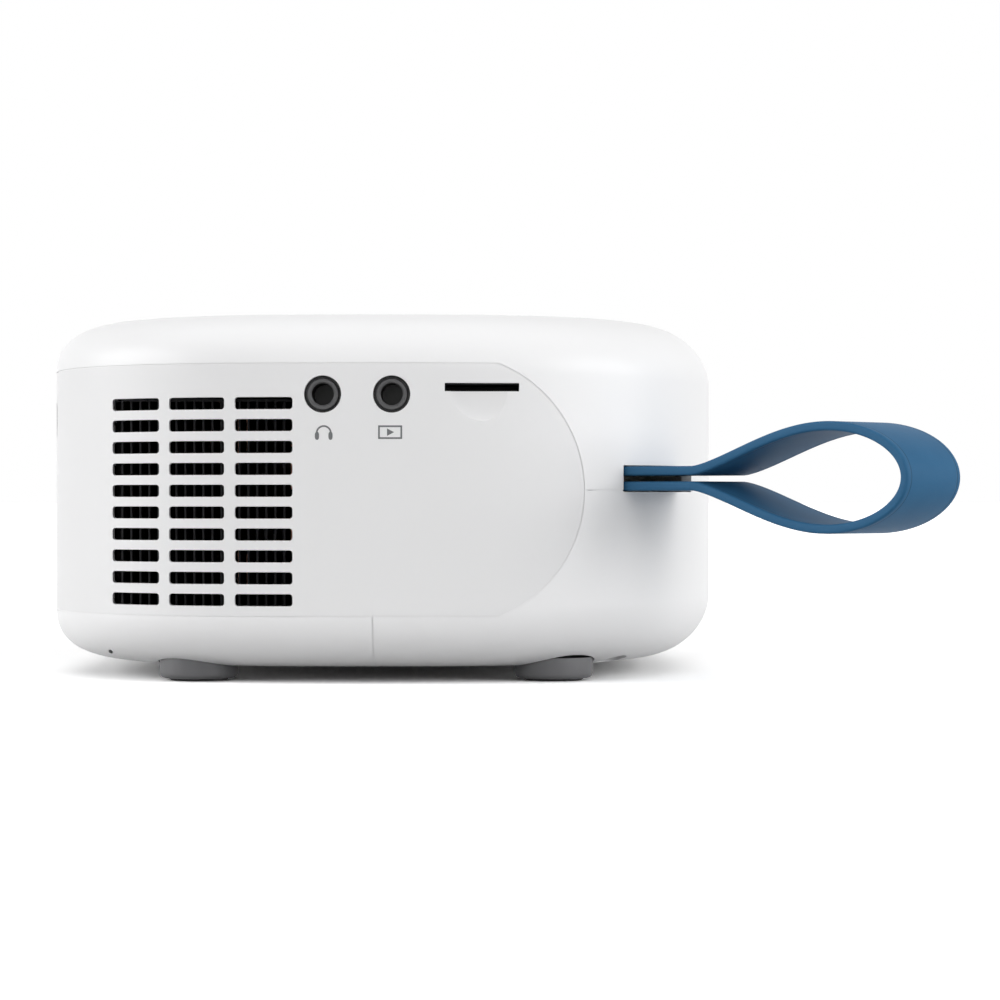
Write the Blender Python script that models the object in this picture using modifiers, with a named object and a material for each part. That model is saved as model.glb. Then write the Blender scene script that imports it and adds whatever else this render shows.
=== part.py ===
"""Portable projector with a hand strap.

A pillow-shaped housing of a top cover, a bottom shell and a lower front cover is wrapped by one
vertical band, which carries the lens and the side vents. Inside stand the light engine, its cooling
set, the boards and their sockets. X runs from the lens end to the strap end, Z is up.
"""

import math

import bmesh
import bpy

# Housing form
HALF_DEPTH = 0.0582
HALF_WIDTH = 0.0700
FOOT_LIFT = 0.0019
HALF_HEIGHT = 0.0298
PLAN_POWER = 2.87
EDGE_RUN = 0.0140
EDGE_DROP_FRONT = 0.0092
EDGE_DROP_REAR = 0.0114
RUN_POWER_FRONT = 2.62
RUN_POWER_REAR = 2.27
RISE_POWER_FRONT = 2.40
RISE_POWER_REAR = 1.90
CROWN = 0.0006
WALL = 0.0020
SEAM = 0.0003
SEAT = 0.0003
OVERRUN = 0.0040
MERGE = 0.000001
PLAN_STEPS = 48
EDGE_SHARES = (0.0, 0.03, 0.12, 0.32, 0.62, 1.0)
CROWN_SHARES = (0.5,)

# Wrap band with its two round ends
BAND_DROP = 0.0092
BAND_ARC_MARGIN = 0.0015
BAND_ARC_CENTRE = 0.0124
BAND_ARC_STEPS = 18
HOOK_WIDTH = 0.0080
HOOK_DEPTH = 0.0012
HOOK_REACH = 0.0018
HOOK_ROOT = 0.0026
HOOK_EASE = 0.0012
HOOK_PLACES = (-0.0280, 0.0085)
HOOK_SPREAD_SHARE = 0.6

# Side vents
VENT_INSET = 0.01459
VENT_LENGTH = 0.0095
VENT_LENGTH_SHARES = (1.0, 0.98, 0.88)
VENT_GAP = 0.00172
VENT_HEIGHT = 0.0020
VENT_ROWS = 10
VENT_TOP_DROP = 0.00645
VENT_BOTTOM_RISE = 0.00271

# Sockets in the near side
JACK_SETBACK = 0.0049
JACK_PITCH = 0.0112
JACK_DROP = 0.0022
JACK_HOLE = 0.00303
JACK_BARREL = 0.00255
JACK_BORE = 0.0018
JACK_BORE_DEPTH = 0.0100
JACK_RECESS = 0.0005
JACK_BODY_WIDTH = 0.0066
JACK_BODY_DEPTH = 0.0120
JACK_BODY_HEIGHT = 0.0050
CARD_X = 0.01775
CARD_SLOT_WIDTH = 0.0121
CARD_SLOT_HEIGHT = 0.00136
CARD_SCOOP_DEPTH = 0.0009
CARD_SCOOP_REACH = 0.0055
CARD_SOCKET_WIDTH = 0.0145
CARD_SOCKET_DEPTH = 0.0140
CARD_SOCKET_HEIGHT = 0.0021
CARD_SOCKET_MOUTH = 0.0010

# Sockets in the far side and the rear
HDMI_X = 0.0010
HDMI_WIDTH = 0.0150
HDMI_HEIGHT = 0.0056
HDMI_DEPTH = 0.0120
USB_X = 0.0170
USB_WIDTH = 0.0132
USB_HEIGHT = 0.0056
USB_DEPTH = 0.0140
SOCKET_WALL = 0.0004
SOCKET_TONGUE = 0.0012
SOCKET_BACK = 0.0004
INLET_Y = 0.0100
INLET_DROP = 0.0117
INLET_RADIUS = 0.0040
INLET_FLANGE = 0.0055
INLET_FLANGE_THICK = 0.0008
INLET_BORE = 0.00275
INLET_LENGTH = 0.0140
INLET_PIN = 0.0010
INLET_NUT_RADIUS = 0.0060
INLET_NUT_THICK = 0.0020

# Main board
BOARD_DROP = 0.0117
BOARD_THICK = 0.0016
BOARD_FRONT = -0.0130
BOARD_REAR = 0.0300
BOARD_MARGIN = 0.0012
BOARD_CORNER = 0.0025
BOARD_POST_RADIUS = 0.0025
BOARD_POST_INSET = 0.0050
BOARD_POST_MARGIN = 0.0230
BOARD_SCREW_RADIUS = 0.0010
BOARD_SCREW_HEAD = 0.0019
BOARD_SCREW_BITE = 0.0050

# Feet
FOOT_INSET_X = 0.0285
FOOT_INSET_Y = 0.0176
FOOT_CUP_RADIUS = 0.0065
FOOT_CUP_BASE = 0.0004
FOOT_CUP_SUNK = 0.0020
FOOT_CUP_ROUND = 0.0008
FOOT_PAD_RADIUS = 0.0050
FOOT_PAD_THICK = 0.0012
FOOT_BOSS_WALL = 0.0017
FOOT_BOSS_RISE = 0.0014

# Hand strap, drawn along its own length from the housing's corner
STRAP_EXIT_INSET = 0.0167
STRAP_TURN = math.radians(-41)
STRAP_WIDTH = 0.0150
STRAP_LIFT = 0.00195
STRAP_THICK = 0.0015
STRAP_SLIT = 0.0010
STRAP_STRAIGHT = 0.0134
STRAP_PARTING = 0.0158
STRAP_PEAK_REACH = 0.0402
STRAP_REACH = 0.0558
STRAP_HEAD_THICK = 0.0019
STRAP_HALF_LOOP = 0.0089
STRAP_ANCHOR = 0.0095
STRAP_SLIT_DEPTH = 0.0010
STRAP_RISE_POWER = 1.35
STRAP_STEPS = 10
NOTCH_PLAY = 0.0004
NOTCH_LENGTH = 0.0218
NOTCH_DEPTH = 0.0060

# Housing screws and their posts
SCREW_RADIUS = 0.00125
SCREW_HEAD_RADIUS = 0.0025
SCREW_HEAD_THICK = 0.0018
SCREW_BITE = 0.0100
POST_RADIUS = 0.0030
POST_RISE = 0.0065
WELL_RADIUS = 0.0038
WELL_SHOULDER = 0.0018
POST_NEAR_INSET = 0.0077
POST_NEAR_SHIFT = 0.0020
POST_FAR_INSET = 0.0122
POST_COLLAR = 0.0050
SCREW_DRIVE_RADIUS = 0.0011
SCREW_DRIVE_DEPTH = 0.0010

# Cooling set
FIN_COUNT = 21
FIN_PITCH = 0.0015
FIN_THICK = 0.0003
FIN_GAP = 0.0013
FIN_FLANGE = 0.0004
FAN_DEPTH = 0.0100
FAN_DUCT_WALL = 0.0015
FAN_TIP_GAP = 0.0006
FAN_HUB_RADIUS = 0.0070
FAN_HUB_DEPTH = 0.0065
FAN_BOSS_DEPTH = 0.0018
FAN_STRUT = 0.0020
FAN_SHAFT = 0.0010
FAN_SHAFT_LENGTH = 0.0014
FAN_BLADES = 7
FAN_BLADE_THICK = 0.0007
FAN_BLADE_PITCH = math.radians(30)
FAN_BLADE_TWIST = math.radians(16)
FAN_CORNER_HOLE = 0.0015
FAN_HOLE_STEPS = 8
FAN_CORNER_INSET = 0.0030
PLENUM = 0.0022
PIPE_WIDTH = 0.0060
PIPE_THICK = 0.0024
PIPE_FEET = 0.0016
PIPE_SPREAD = 0.0150
PIPE_BEND = 0.0040
LED_BLOCK_THICK = 0.0035
LED_BLOCK_WIDTH = 0.0300
LED_BOARD_THICK = 0.0016
LED_BOARD_SIDE = 0.0240
LED_WINDOW = 0.0080
LED_RADIUS = 0.0060
LED_HEIGHT = 0.0028
LED_DOME_SHARE = 0.6
LED_HOLE_INSET = 0.0030
LED_CORNER = 0.0015
LED_HOLE_STEPS = 8

# Light engine
ENGINE_INSET = 0.0110
ENGINE_WIDTH = 0.0400
ENGINE_FEET = 0.0018
ENGINE_HEADROOM = 0.0005
ENGINE_WALL = 0.0020
ENGINE_LID = 0.0016
LENS_Y = 0.0190
ENGINE_TAIL = 0.0150
GROOVE = 0.0010
LED_GAP = 0.0020
CONDENSER_GAP = 0.0029
CONDENSER_THICK = 0.0070
CONDENSER_RIM = 0.0015
PANEL_GAP = 0.0083
FRESNEL_SPREAD = 0.0040
SHEET_THICK = 0.0012
MIRROR_MARGIN = 0.0030
MIRROR_THICK = 0.0015

# Lens group and focus ring
BEZEL_MARGIN = 0.0010
BEZEL_WALL = 0.0017
BEZEL_PROUD = 0.0010
BEZEL_GAP = 0.0006
BEZEL_LIP = 0.0021
BEZEL_FLANGE = 0.0022
BEZEL_FLANGE_THICK = 0.0018
RING_WALL = 0.0026
RING_PROUD = 0.0010
RING_RIB = 0.0004
RING_RIBS = 24
RING_CHAMFER = 0.0006
BARREL_WALL = 0.0014
BARREL_SUNK = 0.0030
BARREL_LENGTH = 0.0142
BARREL_SHELF = 0.0012
LENS_RECESS = 0.0008
LENS_CROWN = 0.0024
LENS_RIM = 0.0022
LENS_FACE_SHARES = (0, 0.45, 0.8, 1)

# Controls
BUTTON_X = 0.0200
BUTTON_RADIUS = 0.0060
BUTTON_FLANGE = 0.0012
BUTTON_STEM_RADIUS = 0.0015
BUTTON_TRAVEL = 0.0005
BUTTON_DIP = 0.0004
BUTTON_ROUND = 0.0005
BUTTON_DISH_SHARE = 0.8
SWITCH_SIDE = 0.0060
SWITCH_HEIGHT = 0.0026
SWITCH_CAP_RADIUS = 0.0017
SWITCH_CAP_HEIGHT = 0.0007

# Chassis, speaker and small parts
TRAY_INSET = 0.0085
TRAY_RISE = 0.0019
TRAY_THICK = 0.0012
TRAY_REAR = 0.0040
TRAY_RIB = 0.0020
TRAY_RIB_GAP = 0.0030
TRAY_POST_RADIUS = 0.0025
TRAY_POST_INSET = 0.0182
TRAY_POST_SETBACK = 0.0110
TRAY_POST_SIDE = 0.0340
SPEAKER_MARGIN = 0.0072
SPEAKER_Y = 0.0040
SPEAKER_RISE = 0.0023
SPEAKER_SURROUND = 0.0035
SPEAKER_CONE_DEPTH = 0.0030
SPEAKER_MAGNET_RADIUS = 0.0080
SPEAKER_FRAME_THICK = 0.0024
SPEAKER_DEPTH = 0.0110
SPEAKER_SLOTS = 5
SPEAKER_SLOT_WIDTH = 0.0016
SPEAKER_SLOT_PITCH = 0.0040
SPEAKER_SLOT_MARGIN = 0.0060
SPEAKER_RIM = 0.0020
INSERT_X = 0.0120
INSERT_RADIUS = 0.0045
INSERT_BORE = 0.0026
INSERT_LENGTH = 0.0075
INSERT_BOSS = 0.0022
FILTER_THICK = 0.0012
FILTER_MARGIN = 0.0020
FILTER_BAR = 0.0012
FILTER_COLUMNS = 4
FILTER_ROWS = 3
PINHOLE_INSET = 0.0134
PINHOLE_RISE = 0.0027
PINHOLE_RADIUS = 0.0004
WINDOW_Y = -0.0280
WINDOW_DROP = 0.0083
WINDOW_RADIUS = 0.0030
LAP_WIDTH = 0.0080
LAP_REACH = 0.0040
LAP_THICK = 0.0011
LAP_SPREAD = 0.0340
LIP_START = 0.0370
LIP_REACH = 0.0020
LIP_ROOT = 0.0030
LIP_THICK = 0.0012

ROUND_STEPS = 20
MIDDLE_STEPS = 16
RING_STEPS = 32
SMALL_STEPS = 10


def wall_y(x):
    """Half width of the outline at this place along X."""
    return HALF_WIDTH * (1 - abs(x / HALF_DEPTH) ** PLAN_POWER) ** (1 / PLAN_POWER)


def wall_x(y):
    """Half depth of the outline at this place along Y."""
    return HALF_DEPTH * (1 - abs(y / HALF_WIDTH) ** PLAN_POWER) ** (1 / PLAN_POWER)


SPLIT_HEIGHT = FOOT_LIFT + HALF_HEIGHT
EDGE_START_FRONT = HALF_HEIGHT - EDGE_DROP_FRONT
EDGE_START_REAR = HALF_HEIGHT - EDGE_DROP_REAR
BAND_HALF_HEIGHT = HALF_HEIGHT - BAND_DROP
BAND_ARC_RADIUS = BAND_HALF_HEIGHT + BAND_ARC_MARGIN
BAND_HIGH = SPLIT_HEIGHT + BAND_HALF_HEIGHT
BODY_TOP = SPLIT_HEIGHT + HALF_HEIGHT
FLOOR = FOOT_LIFT + WALL + CROWN
ABOVE = BODY_TOP + OVERRUN
BELOW = FOOT_LIFT - OVERRUN

VENT_RUN = sum(VENT_LENGTH_SHARES) * VENT_LENGTH + (len(VENT_LENGTH_SHARES) - 1) * VENT_GAP
VENT_EDGE = -HALF_DEPTH + VENT_INSET + VENT_RUN
VENT_PITCH = (2 * BAND_HALF_HEIGHT - VENT_TOP_DROP - VENT_BOTTOM_RISE) / (VENT_ROWS - 1)
JACK_X = VENT_EDGE + JACK_SETBACK

STRAP_EXIT_X = HALF_DEPTH - STRAP_EXIT_INSET
STRAP_EXIT_Y = -wall_y(STRAP_EXIT_X)
STRAP_HEIGHT = SPLIT_HEIGHT + STRAP_LIFT
STRAP_HALF_THICK = STRAP_THICK + STRAP_SLIT / 2
STRAP_LOW = STRAP_HEIGHT - STRAP_HALF_THICK
STRAP_HIGH = STRAP_HEIGHT + STRAP_HALF_THICK

BOARD_UNDERSIDE = BODY_TOP - BOARD_DROP
BOARD_HALF_WIDTH = wall_y(BOARD_REAR) - WALL - BOARD_MARGIN
BOARD_POST_Y = BOARD_HALF_WIDTH - BOARD_POST_MARGIN
JACK_HEIGHT = BOARD_UNDERSIDE - SEAT - JACK_DROP
CARD_HEIGHT = BOARD_UNDERSIDE - SEAT - CARD_SOCKET_HEIGHT / 2
INLET_HEIGHT = SPLIT_HEIGHT - INLET_DROP
INLET_FACE = wall_x(INLET_Y + INLET_FLANGE)
WINDOW_HEIGHT = BAND_HIGH - WINDOW_DROP
PINHOLE_X = -HALF_DEPTH + PINHOLE_INSET
PINHOLE_HEIGHT = FOOT_LIFT + PINHOLE_RISE

FOOT_X = HALF_DEPTH - FOOT_INSET_X
FOOT_Y = HALF_WIDTH - FOOT_INSET_Y
FOOT_CUP_TOP = FOOT_LIFT + FOOT_CUP_SUNK
FOOT_BOSS_TOP = FLOOR + FOOT_BOSS_RISE
POST_BASE = FLOOR + POST_RISE

TRAY_HEIGHT = FLOOR + TRAY_RISE
TRAY_TOP = TRAY_HEIGHT + TRAY_THICK
TRAY_POST_FRONT = -HALF_DEPTH + TRAY_POST_INSET
TRAY_POST_REAR = TRAY_REAR - TRAY_POST_SETBACK
TRAY_POST_Y = HALF_WIDTH - TRAY_POST_SIDE

# Engine, whose height fills the room between the tray and the board
ENGINE_HALF = ENGINE_WIDTH / 2
ENGINE_INNER = ENGINE_HALF - ENGINE_WALL
ENGINE_X = -HALF_DEPTH + ENGINE_INSET + ENGINE_HALF
ENGINE_BASE = TRAY_TOP + ENGINE_FEET
ENGINE_RIM = BOARD_UNDERSIDE - ENGINE_HEADROOM - ENGINE_LID - SEAT
ENGINE_TALL = (ENGINE_RIM - ENGINE_BASE - ENGINE_WALL) / 2
ENGINE_HEIGHT = ENGINE_RIM - ENGINE_TALL
ENGINE_FRONT = ENGINE_X - ENGINE_HALF
ENGINE_REAR = ENGINE_X + ENGINE_HALF
ENGINE_FAR = LENS_Y + ENGINE_TAIL
MIRROR_LENGTH = 2 * ENGINE_INNER - MIRROR_MARGIN
MIRROR_REACH = MIRROR_LENGTH / 2 * math.cos(math.radians(45))
PANEL_Y = LENS_Y - MIRROR_REACH - PANEL_GAP
FRESNEL_IN_Y = PANEL_Y - FRESNEL_SPREAD
FRESNEL_OUT_Y = PANEL_Y + FRESNEL_SPREAD
CONDENSER_Y = FRESNEL_IN_Y - SHEET_THICK / 2 - CONDENSER_GAP - CONDENSER_THICK / 2
ENGINE_NEAR = CONDENSER_Y - CONDENSER_THICK / 2 - LED_GAP - LED_HEIGHT

# Cooling set, from the engine out to the near wall, which the fins reach
LED_BOARD_FAR = ENGINE_NEAR - SEAT
LED_BOARD_NEAR = LED_BOARD_FAR - LED_BOARD_THICK
BLOCK_FAR = LED_BOARD_NEAR - SEAT
BLOCK_NEAR = BLOCK_FAR - LED_BLOCK_THICK
PIPE_FAR = BLOCK_NEAR - SEAT
PIPE_NEAR = PIPE_FAR - PIPE_THICK
PIPE_BASE = TRAY_TOP + PIPE_FEET
PIPE_TOP = PIPE_BASE + PIPE_THICK
FAN_FAR = PIPE_NEAR - PLENUM
FAN_NEAR = FAN_FAR - FAN_DEPTH
FAN_BASE = PIPE_TOP + SEAT
FAN_SIDE = 2 * (ENGINE_HEIGHT - FAN_BASE)
FAN_DUCT_RADIUS = FAN_SIDE / 2 - FAN_DUCT_WALL
FAN_BLADE_RADIUS = FAN_DUCT_RADIUS - FAN_TIP_GAP
FIN_SPREAD = (FIN_COUNT - 1) * FIN_PITCH + FIN_THICK
FIN_NEAR = -wall_y(ENGINE_X - FIN_SPREAD / 2) + WALL + FIN_GAP
FIN_FAR = FAN_NEAR - SEAT

POST_NEAR_X = -HALF_DEPTH + POST_NEAR_INSET
POST_NEAR_Y = BLOCK_NEAR + POST_NEAR_SHIFT
POST_FAR_X = -HALF_DEPTH + POST_FAR_INSET
POST_FAR_Y = (ENGINE_FAR + wall_y(POST_FAR_X) - WALL) / 2

BEZEL_RADIUS = BAND_HALF_HEIGHT - SPLIT_HEIGHT + ENGINE_HEIGHT - SEAT - BEZEL_MARGIN
BEZEL_FRONT = -HALF_DEPTH - BEZEL_PROUD
BEZEL_SHELF = -wall_x(LENS_Y + BEZEL_RADIUS + BEZEL_FLANGE) + WALL + BEZEL_GAP
BEZEL_BACK = BEZEL_SHELF + BEZEL_FLANGE_THICK
RING_FRONT = BEZEL_FRONT - RING_PROUD
RING_RADIUS = BEZEL_RADIUS - BEZEL_WALL - SEAT
BARREL_RADIUS = RING_RADIUS - RING_WALL - SEAT
BARREL_FRONT = BEZEL_FRONT + BARREL_SUNK
BARREL_BACK = BARREL_FRONT + BARREL_LENGTH

SWITCH_TOP = BOARD_UNDERSIDE + BOARD_THICK + SEAT + SWITCH_HEIGHT + SWITCH_CAP_HEIGHT
SPEAKER_LEFT = INSERT_X + INSERT_RADIUS + SEAT + INSERT_BOSS
SPEAKER_RIGHT = HALF_DEPTH - WALL - SPEAKER_MARGIN
SPEAKER_RADIUS = (SPEAKER_RIGHT - SPEAKER_LEFT) / 2
SPEAKER_X = (SPEAKER_RIGHT + SPEAKER_LEFT) / 2
SPEAKER_BASE = FLOOR + SPEAKER_RISE
SPEAKER_CONE_RADIUS = SPEAKER_RADIUS - SPEAKER_SURROUND
SPEAKER_SLOT_LENGTH = 2 * (SPEAKER_RADIUS - SPEAKER_SLOT_MARGIN)

for old in list(bpy.data.objects):
    bpy.data.objects.remove(old)


def new_collection(name):
    made = bpy.data.collections.new(name)
    bpy.context.scene.collection.children.link(made)
    return made


PARTS = new_collection("portable_projector")
CUTTERS = new_collection("cutters")
CUTTERS.hide_render = True


def new_empty(name, place, parent=None):
    empty = bpy.data.objects.new(name, None)
    empty.location = place
    empty.parent = parent
    PARTS.objects.link(empty)
    return empty


def finish(name, colour, roughness=0.5, metallic=0.0):
    """One Principled material; the colour is a linear RGB triple."""
    made = bpy.data.materials.new(name)
    made.use_nodes = True
    shader = made.node_tree.nodes["Principled BSDF"]
    shader.inputs["Base Color"].default_value = (*colour, 1.0)
    shader.inputs["Roughness"].default_value = roughness
    shader.inputs["Metallic"].default_value = metallic
    made.diffuse_color = (*colour, 1.0)
    return made


SHELL_WHITE = finish("shell_white", (0.86, 0.86, 0.86), 0.42)
BAND_WHITE = finish("band_white", (0.78, 0.78, 0.78), 0.48)
BUTTON_GREY = finish("button_grey", (0.60, 0.61, 0.62), 0.4)
FOOT_GREY = finish("foot_grey", (0.16, 0.16, 0.165), 0.6)
FOOT_RUBBER = finish("foot_rubber", (0.05, 0.05, 0.052), 0.85)
STRAP_BLUE = finish("strap_blue", (0.026, 0.120, 0.235), 0.55)
JACK_BLACK = finish("jack_black", (0.012, 0.012, 0.014), 0.35)
PLAIN_STEEL = finish("plain_steel", (0.55, 0.56, 0.58), 0.3, 1.0)
BRASS = finish("turned_brass", (0.75, 0.55, 0.24), 0.3, 1.0)
COPPER = finish("copper", (0.80, 0.42, 0.28), 0.28, 1.0)
FIN_ALUMINIUM = finish("fin_aluminium", (0.62, 0.63, 0.65), 0.35, 1.0)
BLACK_PLASTIC = finish("black_plastic", (0.022, 0.022, 0.024), 0.5)
ENGINE_GREY = finish("engine_grey", (0.06, 0.06, 0.065), 0.55)
BOARD_GREEN = finish("board_green", (0.02, 0.11, 0.05), 0.4)
BOARD_WHITE = finish("led_board_white", (0.80, 0.80, 0.78), 0.4)
CLEAR_GLASS = finish("lens_glass", (0.55, 0.62, 0.68), 0.04)
SHEET_PLASTIC = finish("sheet_plastic", (0.70, 0.73, 0.75), 0.15)
MIRROR_SILVER = finish("mirror_silver", (0.88, 0.89, 0.90), 0.03, 1.0)
LED_YELLOW = finish("led_phosphor", (0.85, 0.72, 0.18), 0.25)
DARK_WINDOW = finish("dark_window", (0.02, 0.006, 0.008), 0.08)


def strap_point(along, across):
    """A place in plan, measured along the strap and across it from where it leaves."""
    x = STRAP_EXIT_X + along * math.cos(STRAP_TURN) - across * math.sin(STRAP_TURN)
    y = STRAP_EXIT_Y + along * math.sin(STRAP_TURN) + across * math.cos(STRAP_TURN)
    return x, y


ANCHOR_X, ANCHOR_Y = strap_point(-STRAP_ANCHOR, STRAP_WIDTH / 2)
MIDDLE_X = (RING_FRONT + strap_point(STRAP_REACH, STRAP_WIDTH)[0]) / 2
MIDDLE_Y = (HALF_WIDTH + strap_point(STRAP_REACH, 0)[1]) / 2
BASE = new_empty("projector_base", (-MIDDLE_X, -MIDDLE_Y, 0))


def plan_point(angle, inset):
    """A point of the housing's rounded outline seen from above, moved in by inset."""
    c, s = math.cos(angle), math.sin(angle)
    x = math.copysign(abs(c) ** (2 / PLAN_POWER), c) * (HALF_DEPTH - inset)
    y = math.copysign(abs(s) ** (2 / PLAN_POWER), s) * (HALF_WIDTH - inset)
    return x, y


def edge_height(x, share, thinner=0.0):
    """Height over the split of the rounded edge, for a share of its run inwards."""
    rear = (x / HALF_DEPTH + 1) / 2
    start = EDGE_START_FRONT + (EDGE_START_REAR - EDGE_START_FRONT) * rear
    run_power = RUN_POWER_FRONT + (RUN_POWER_REAR - RUN_POWER_FRONT) * rear
    rise_power = RISE_POWER_FRONT + (RISE_POWER_REAR - RISE_POWER_FRONT) * rear
    rise = (1 - (1 - share) ** run_power) ** (1 / rise_power)
    return start + (HALF_HEIGHT - thinner - CROWN - start) * rise


def shell_rings(side, start, inset=0.0):
    """Rings of points from height start over the split, round the edge and in to the crown."""
    angles = [math.tau * step / PLAN_STEPS for step in range(PLAN_STEPS)]
    rings = [[(*plan_point(a, inset), SPLIT_HEIGHT + side * start) for a in angles]]
    for share in EDGE_SHARES:
        ring = []
        for a in angles:
            x, y = plan_point(a, inset + share * (EDGE_RUN - inset))
            ring.append((x, y, SPLIT_HEIGHT + side * edge_height(x, share, inset)))
        rings.append(ring)
    flat = HALF_HEIGHT - inset - CROWN
    for share in CROWN_SHARES:
        height = SPLIT_HEIGHT + side * (flat + CROWN * (1 - share**2))
        rings.append([(x * share, y * share, height) for x, y, _ in rings[len(EDGE_SHARES)]])
    return rings


def link(name, data, material, parent, cutter=False):
    """Puts a mesh in the scene as a part, or as a wire cutter that doesn't render."""
    made = bpy.data.objects.new(name, data)
    made.parent = parent
    if cutter:
        CUTTERS.objects.link(made)
        made.display_type = "WIRE"
        made.hide_render = True
        return made
    PARTS.objects.link(made)
    data.materials.clear()
    data.materials.append(material)
    return made


def mesh_of(name, work):
    bmesh.ops.recalc_face_normals(work, faces=work.faces)
    mesh = bpy.data.meshes.new(name)
    work.to_mesh(mesh)
    work.free()
    mesh.shade_smooth()
    mesh.set_sharp_from_angle(angle=math.radians(30))
    return mesh


def loft(work, rings, closed=False):
    """Joins rings of points with quads; closed also joins the last ring to the first."""
    rows = [[work.verts.new(point) for point in ring] for ring in rings]
    pairs = list(zip(rows, rows[1:]))
    if closed:
        pairs.append((rows[-1], rows[0]))
    for low, high in pairs:
        for i in range(len(low)):
            j = (i + 1) % len(low)
            work.faces.new((low[i], low[j], high[j], high[i]))
    return rows


def cap(work, row, height):
    """Closes a ring of vertices with a fan round the vertical axis of the housing."""
    top = work.verts.new((0, 0, height))
    for i in range(len(row)):
        work.faces.new((row[i], row[(i + 1) % len(row)], top))


def shell(name, side, start, material):
    """Open half of the housing, thickened inwards by its wall."""
    work = bmesh.new()
    rows = loft(work, shell_rings(side, start))
    cap(work, rows[-1], SPLIT_HEIGHT + side * HALF_HEIGHT)
    made = link(name, mesh_of(name, work), material, BASE)
    thicken(made, WALL)
    return made


def core_form():
    """Closed form that ends in the middle of the wall; bosses are trimmed to it."""
    inset = WALL / 2
    work = bmesh.new()
    low = shell_rings(-1, 0.0, inset)[::-1]
    high = shell_rings(1, 0.0, inset)[1:]
    rows = loft(work, low + high)
    cap(work, rows[0], SPLIT_HEIGHT - HALF_HEIGHT + inset)
    cap(work, rows[-1], SPLIT_HEIGHT + HALF_HEIGHT - inset)
    return link("core_form", mesh_of("core_form", work), None, BASE, cutter=True)


def thicken(target, thickness):
    solid = target.modifiers.new("wall", "SOLIDIFY")
    solid.thickness = thickness
    solid.offset = -1
    solid.use_even_offset = True


def cut(target, tool, operation="DIFFERENCE"):
    """A Boolean of the target with a cutter, or with all of a collection of cutters."""
    made = target.modifiers.new(tool.name, "BOOLEAN")
    made.operation = operation
    made.solver = "EXACT"
    if isinstance(tool, bpy.types.Collection):
        made.operand_type = "COLLECTION"
        made.collection = tool
    else:
        made.object = tool
    return made


def cutter_group(name, tools):
    """Cutters that act together in one Boolean."""
    group = bpy.data.collections.new(name)
    CUTTERS.children.link(group)
    for tool in tools:
        CUTTERS.objects.unlink(tool)
        group.objects.link(tool)
    return group


def box(name, low, high, material=None, place=(0, 0, 0), turn=(0, 0, 0)):
    """A box between two corners; without a material it is a cutter."""
    work = bmesh.new()
    bmesh.ops.create_cube(work, size=1)
    for vert in work.verts:
        vert.co = [a + (b - a) * (c + 0.5) for a, b, c in zip(low, high, vert.co)]
    made = link(name, mesh_of(name, work), material, BASE, cutter=material is None)
    made.location = place
    made.rotation_euler = turn
    return made


TURNS = {"X": (0, math.radians(90), 0), "Y": (math.radians(-90), 0, 0), "Z": (0, 0, 0)}


def rod(name, axis, place, radius, low, high, material=None, steps=ROUND_STEPS):
    """A cylinder along an axis through place, between two heights on that axis."""
    work = bmesh.new()
    bmesh.ops.create_cone(
        work, cap_ends=True, segments=steps, radius1=radius, radius2=radius, depth=high - low
    )
    for vert in work.verts:
        vert.co.z += (low + high) / 2
    made = link(name, mesh_of(name, work), material, BASE, cutter=material is None)
    made.location = place
    made.rotation_euler = TURNS[axis]
    return made


def turned(name, axis, place, profile, material=None, closed=False, steps=ROUND_STEPS):
    """A turned piece: its profile of (radius, height) runs down the outer side."""
    work = bmesh.new()
    verts = [work.verts.new((radius, 0, height)) for radius, height in profile]
    for first, second in zip(verts, verts[1:]):
        work.edges.new((first, second))
    if closed:
        work.edges.new((verts[-1], verts[0]))
    mesh = bpy.data.meshes.new(name)
    work.to_mesh(mesh)
    work.free()
    made = link(name, mesh, material, BASE, cutter=material is None)
    made.location = place
    made.rotation_euler = TURNS[axis]
    screw = made.modifiers.new("turn", "SCREW")
    screw.steps = steps
    screw.render_steps = steps
    screw.use_merge_vertices = True
    screw.merge_threshold = MERGE
    screw.use_smooth_shade = True
    return made


def plate(name, outlines, low, high, material=None, turn=(0, 0, 0), place=(0, 0, 0)):
    """A flat piece from closed outlines, the inner ones holes, between two heights."""
    curve = bpy.data.curves.new(name, "CURVE")
    curve.dimensions = "2D"
    curve.fill_mode = "BOTH"
    curve.extrude = (high - low) / 2
    for outline in outlines:
        spline = curve.splines.new("POLY")
        spline.points.add(len(outline) - 1)
        spline.use_cyclic_u = True
        for point, (x, y) in zip(spline.points, outline):
            point.co = (x, y, 0, 1)
    drawn = bpy.data.objects.new(name, curve)
    mesh = bpy.data.meshes.new_from_object(drawn)
    bpy.data.objects.remove(drawn)
    work = bmesh.new()
    work.from_mesh(mesh)
    bpy.data.meshes.remove(mesh)
    bmesh.ops.remove_doubles(work, verts=work.verts, dist=MERGE)
    for vert in work.verts:
        vert.co.z += (low + high) / 2
    made = link(name, mesh_of(name, work), material, BASE, cutter=material is None)
    made.rotation_euler = turn
    made.location = place
    return made


def upright(name, outlines, near, far, material=None):
    """A plate drawn in X and Z, from near to far along Y."""
    return plate(name, outlines, -far, -near, material, turn=UPRIGHT)


def sideways(name, outlines, front, rear, material=None):
    """A plate drawn in Y and Z, from front to rear along X."""
    return plate(name, outlines, front, rear, material, turn=SIDEWAYS)


def arc(centre, radius, start, end, steps):
    """Points of an arc, both ends included; angles in degrees."""
    angles = [math.radians(start + (end - start) * step / steps) for step in range(steps + 1)]
    return [(centre[0] + radius * math.cos(a), centre[1] + radius * math.sin(a)) for a in angles]


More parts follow.
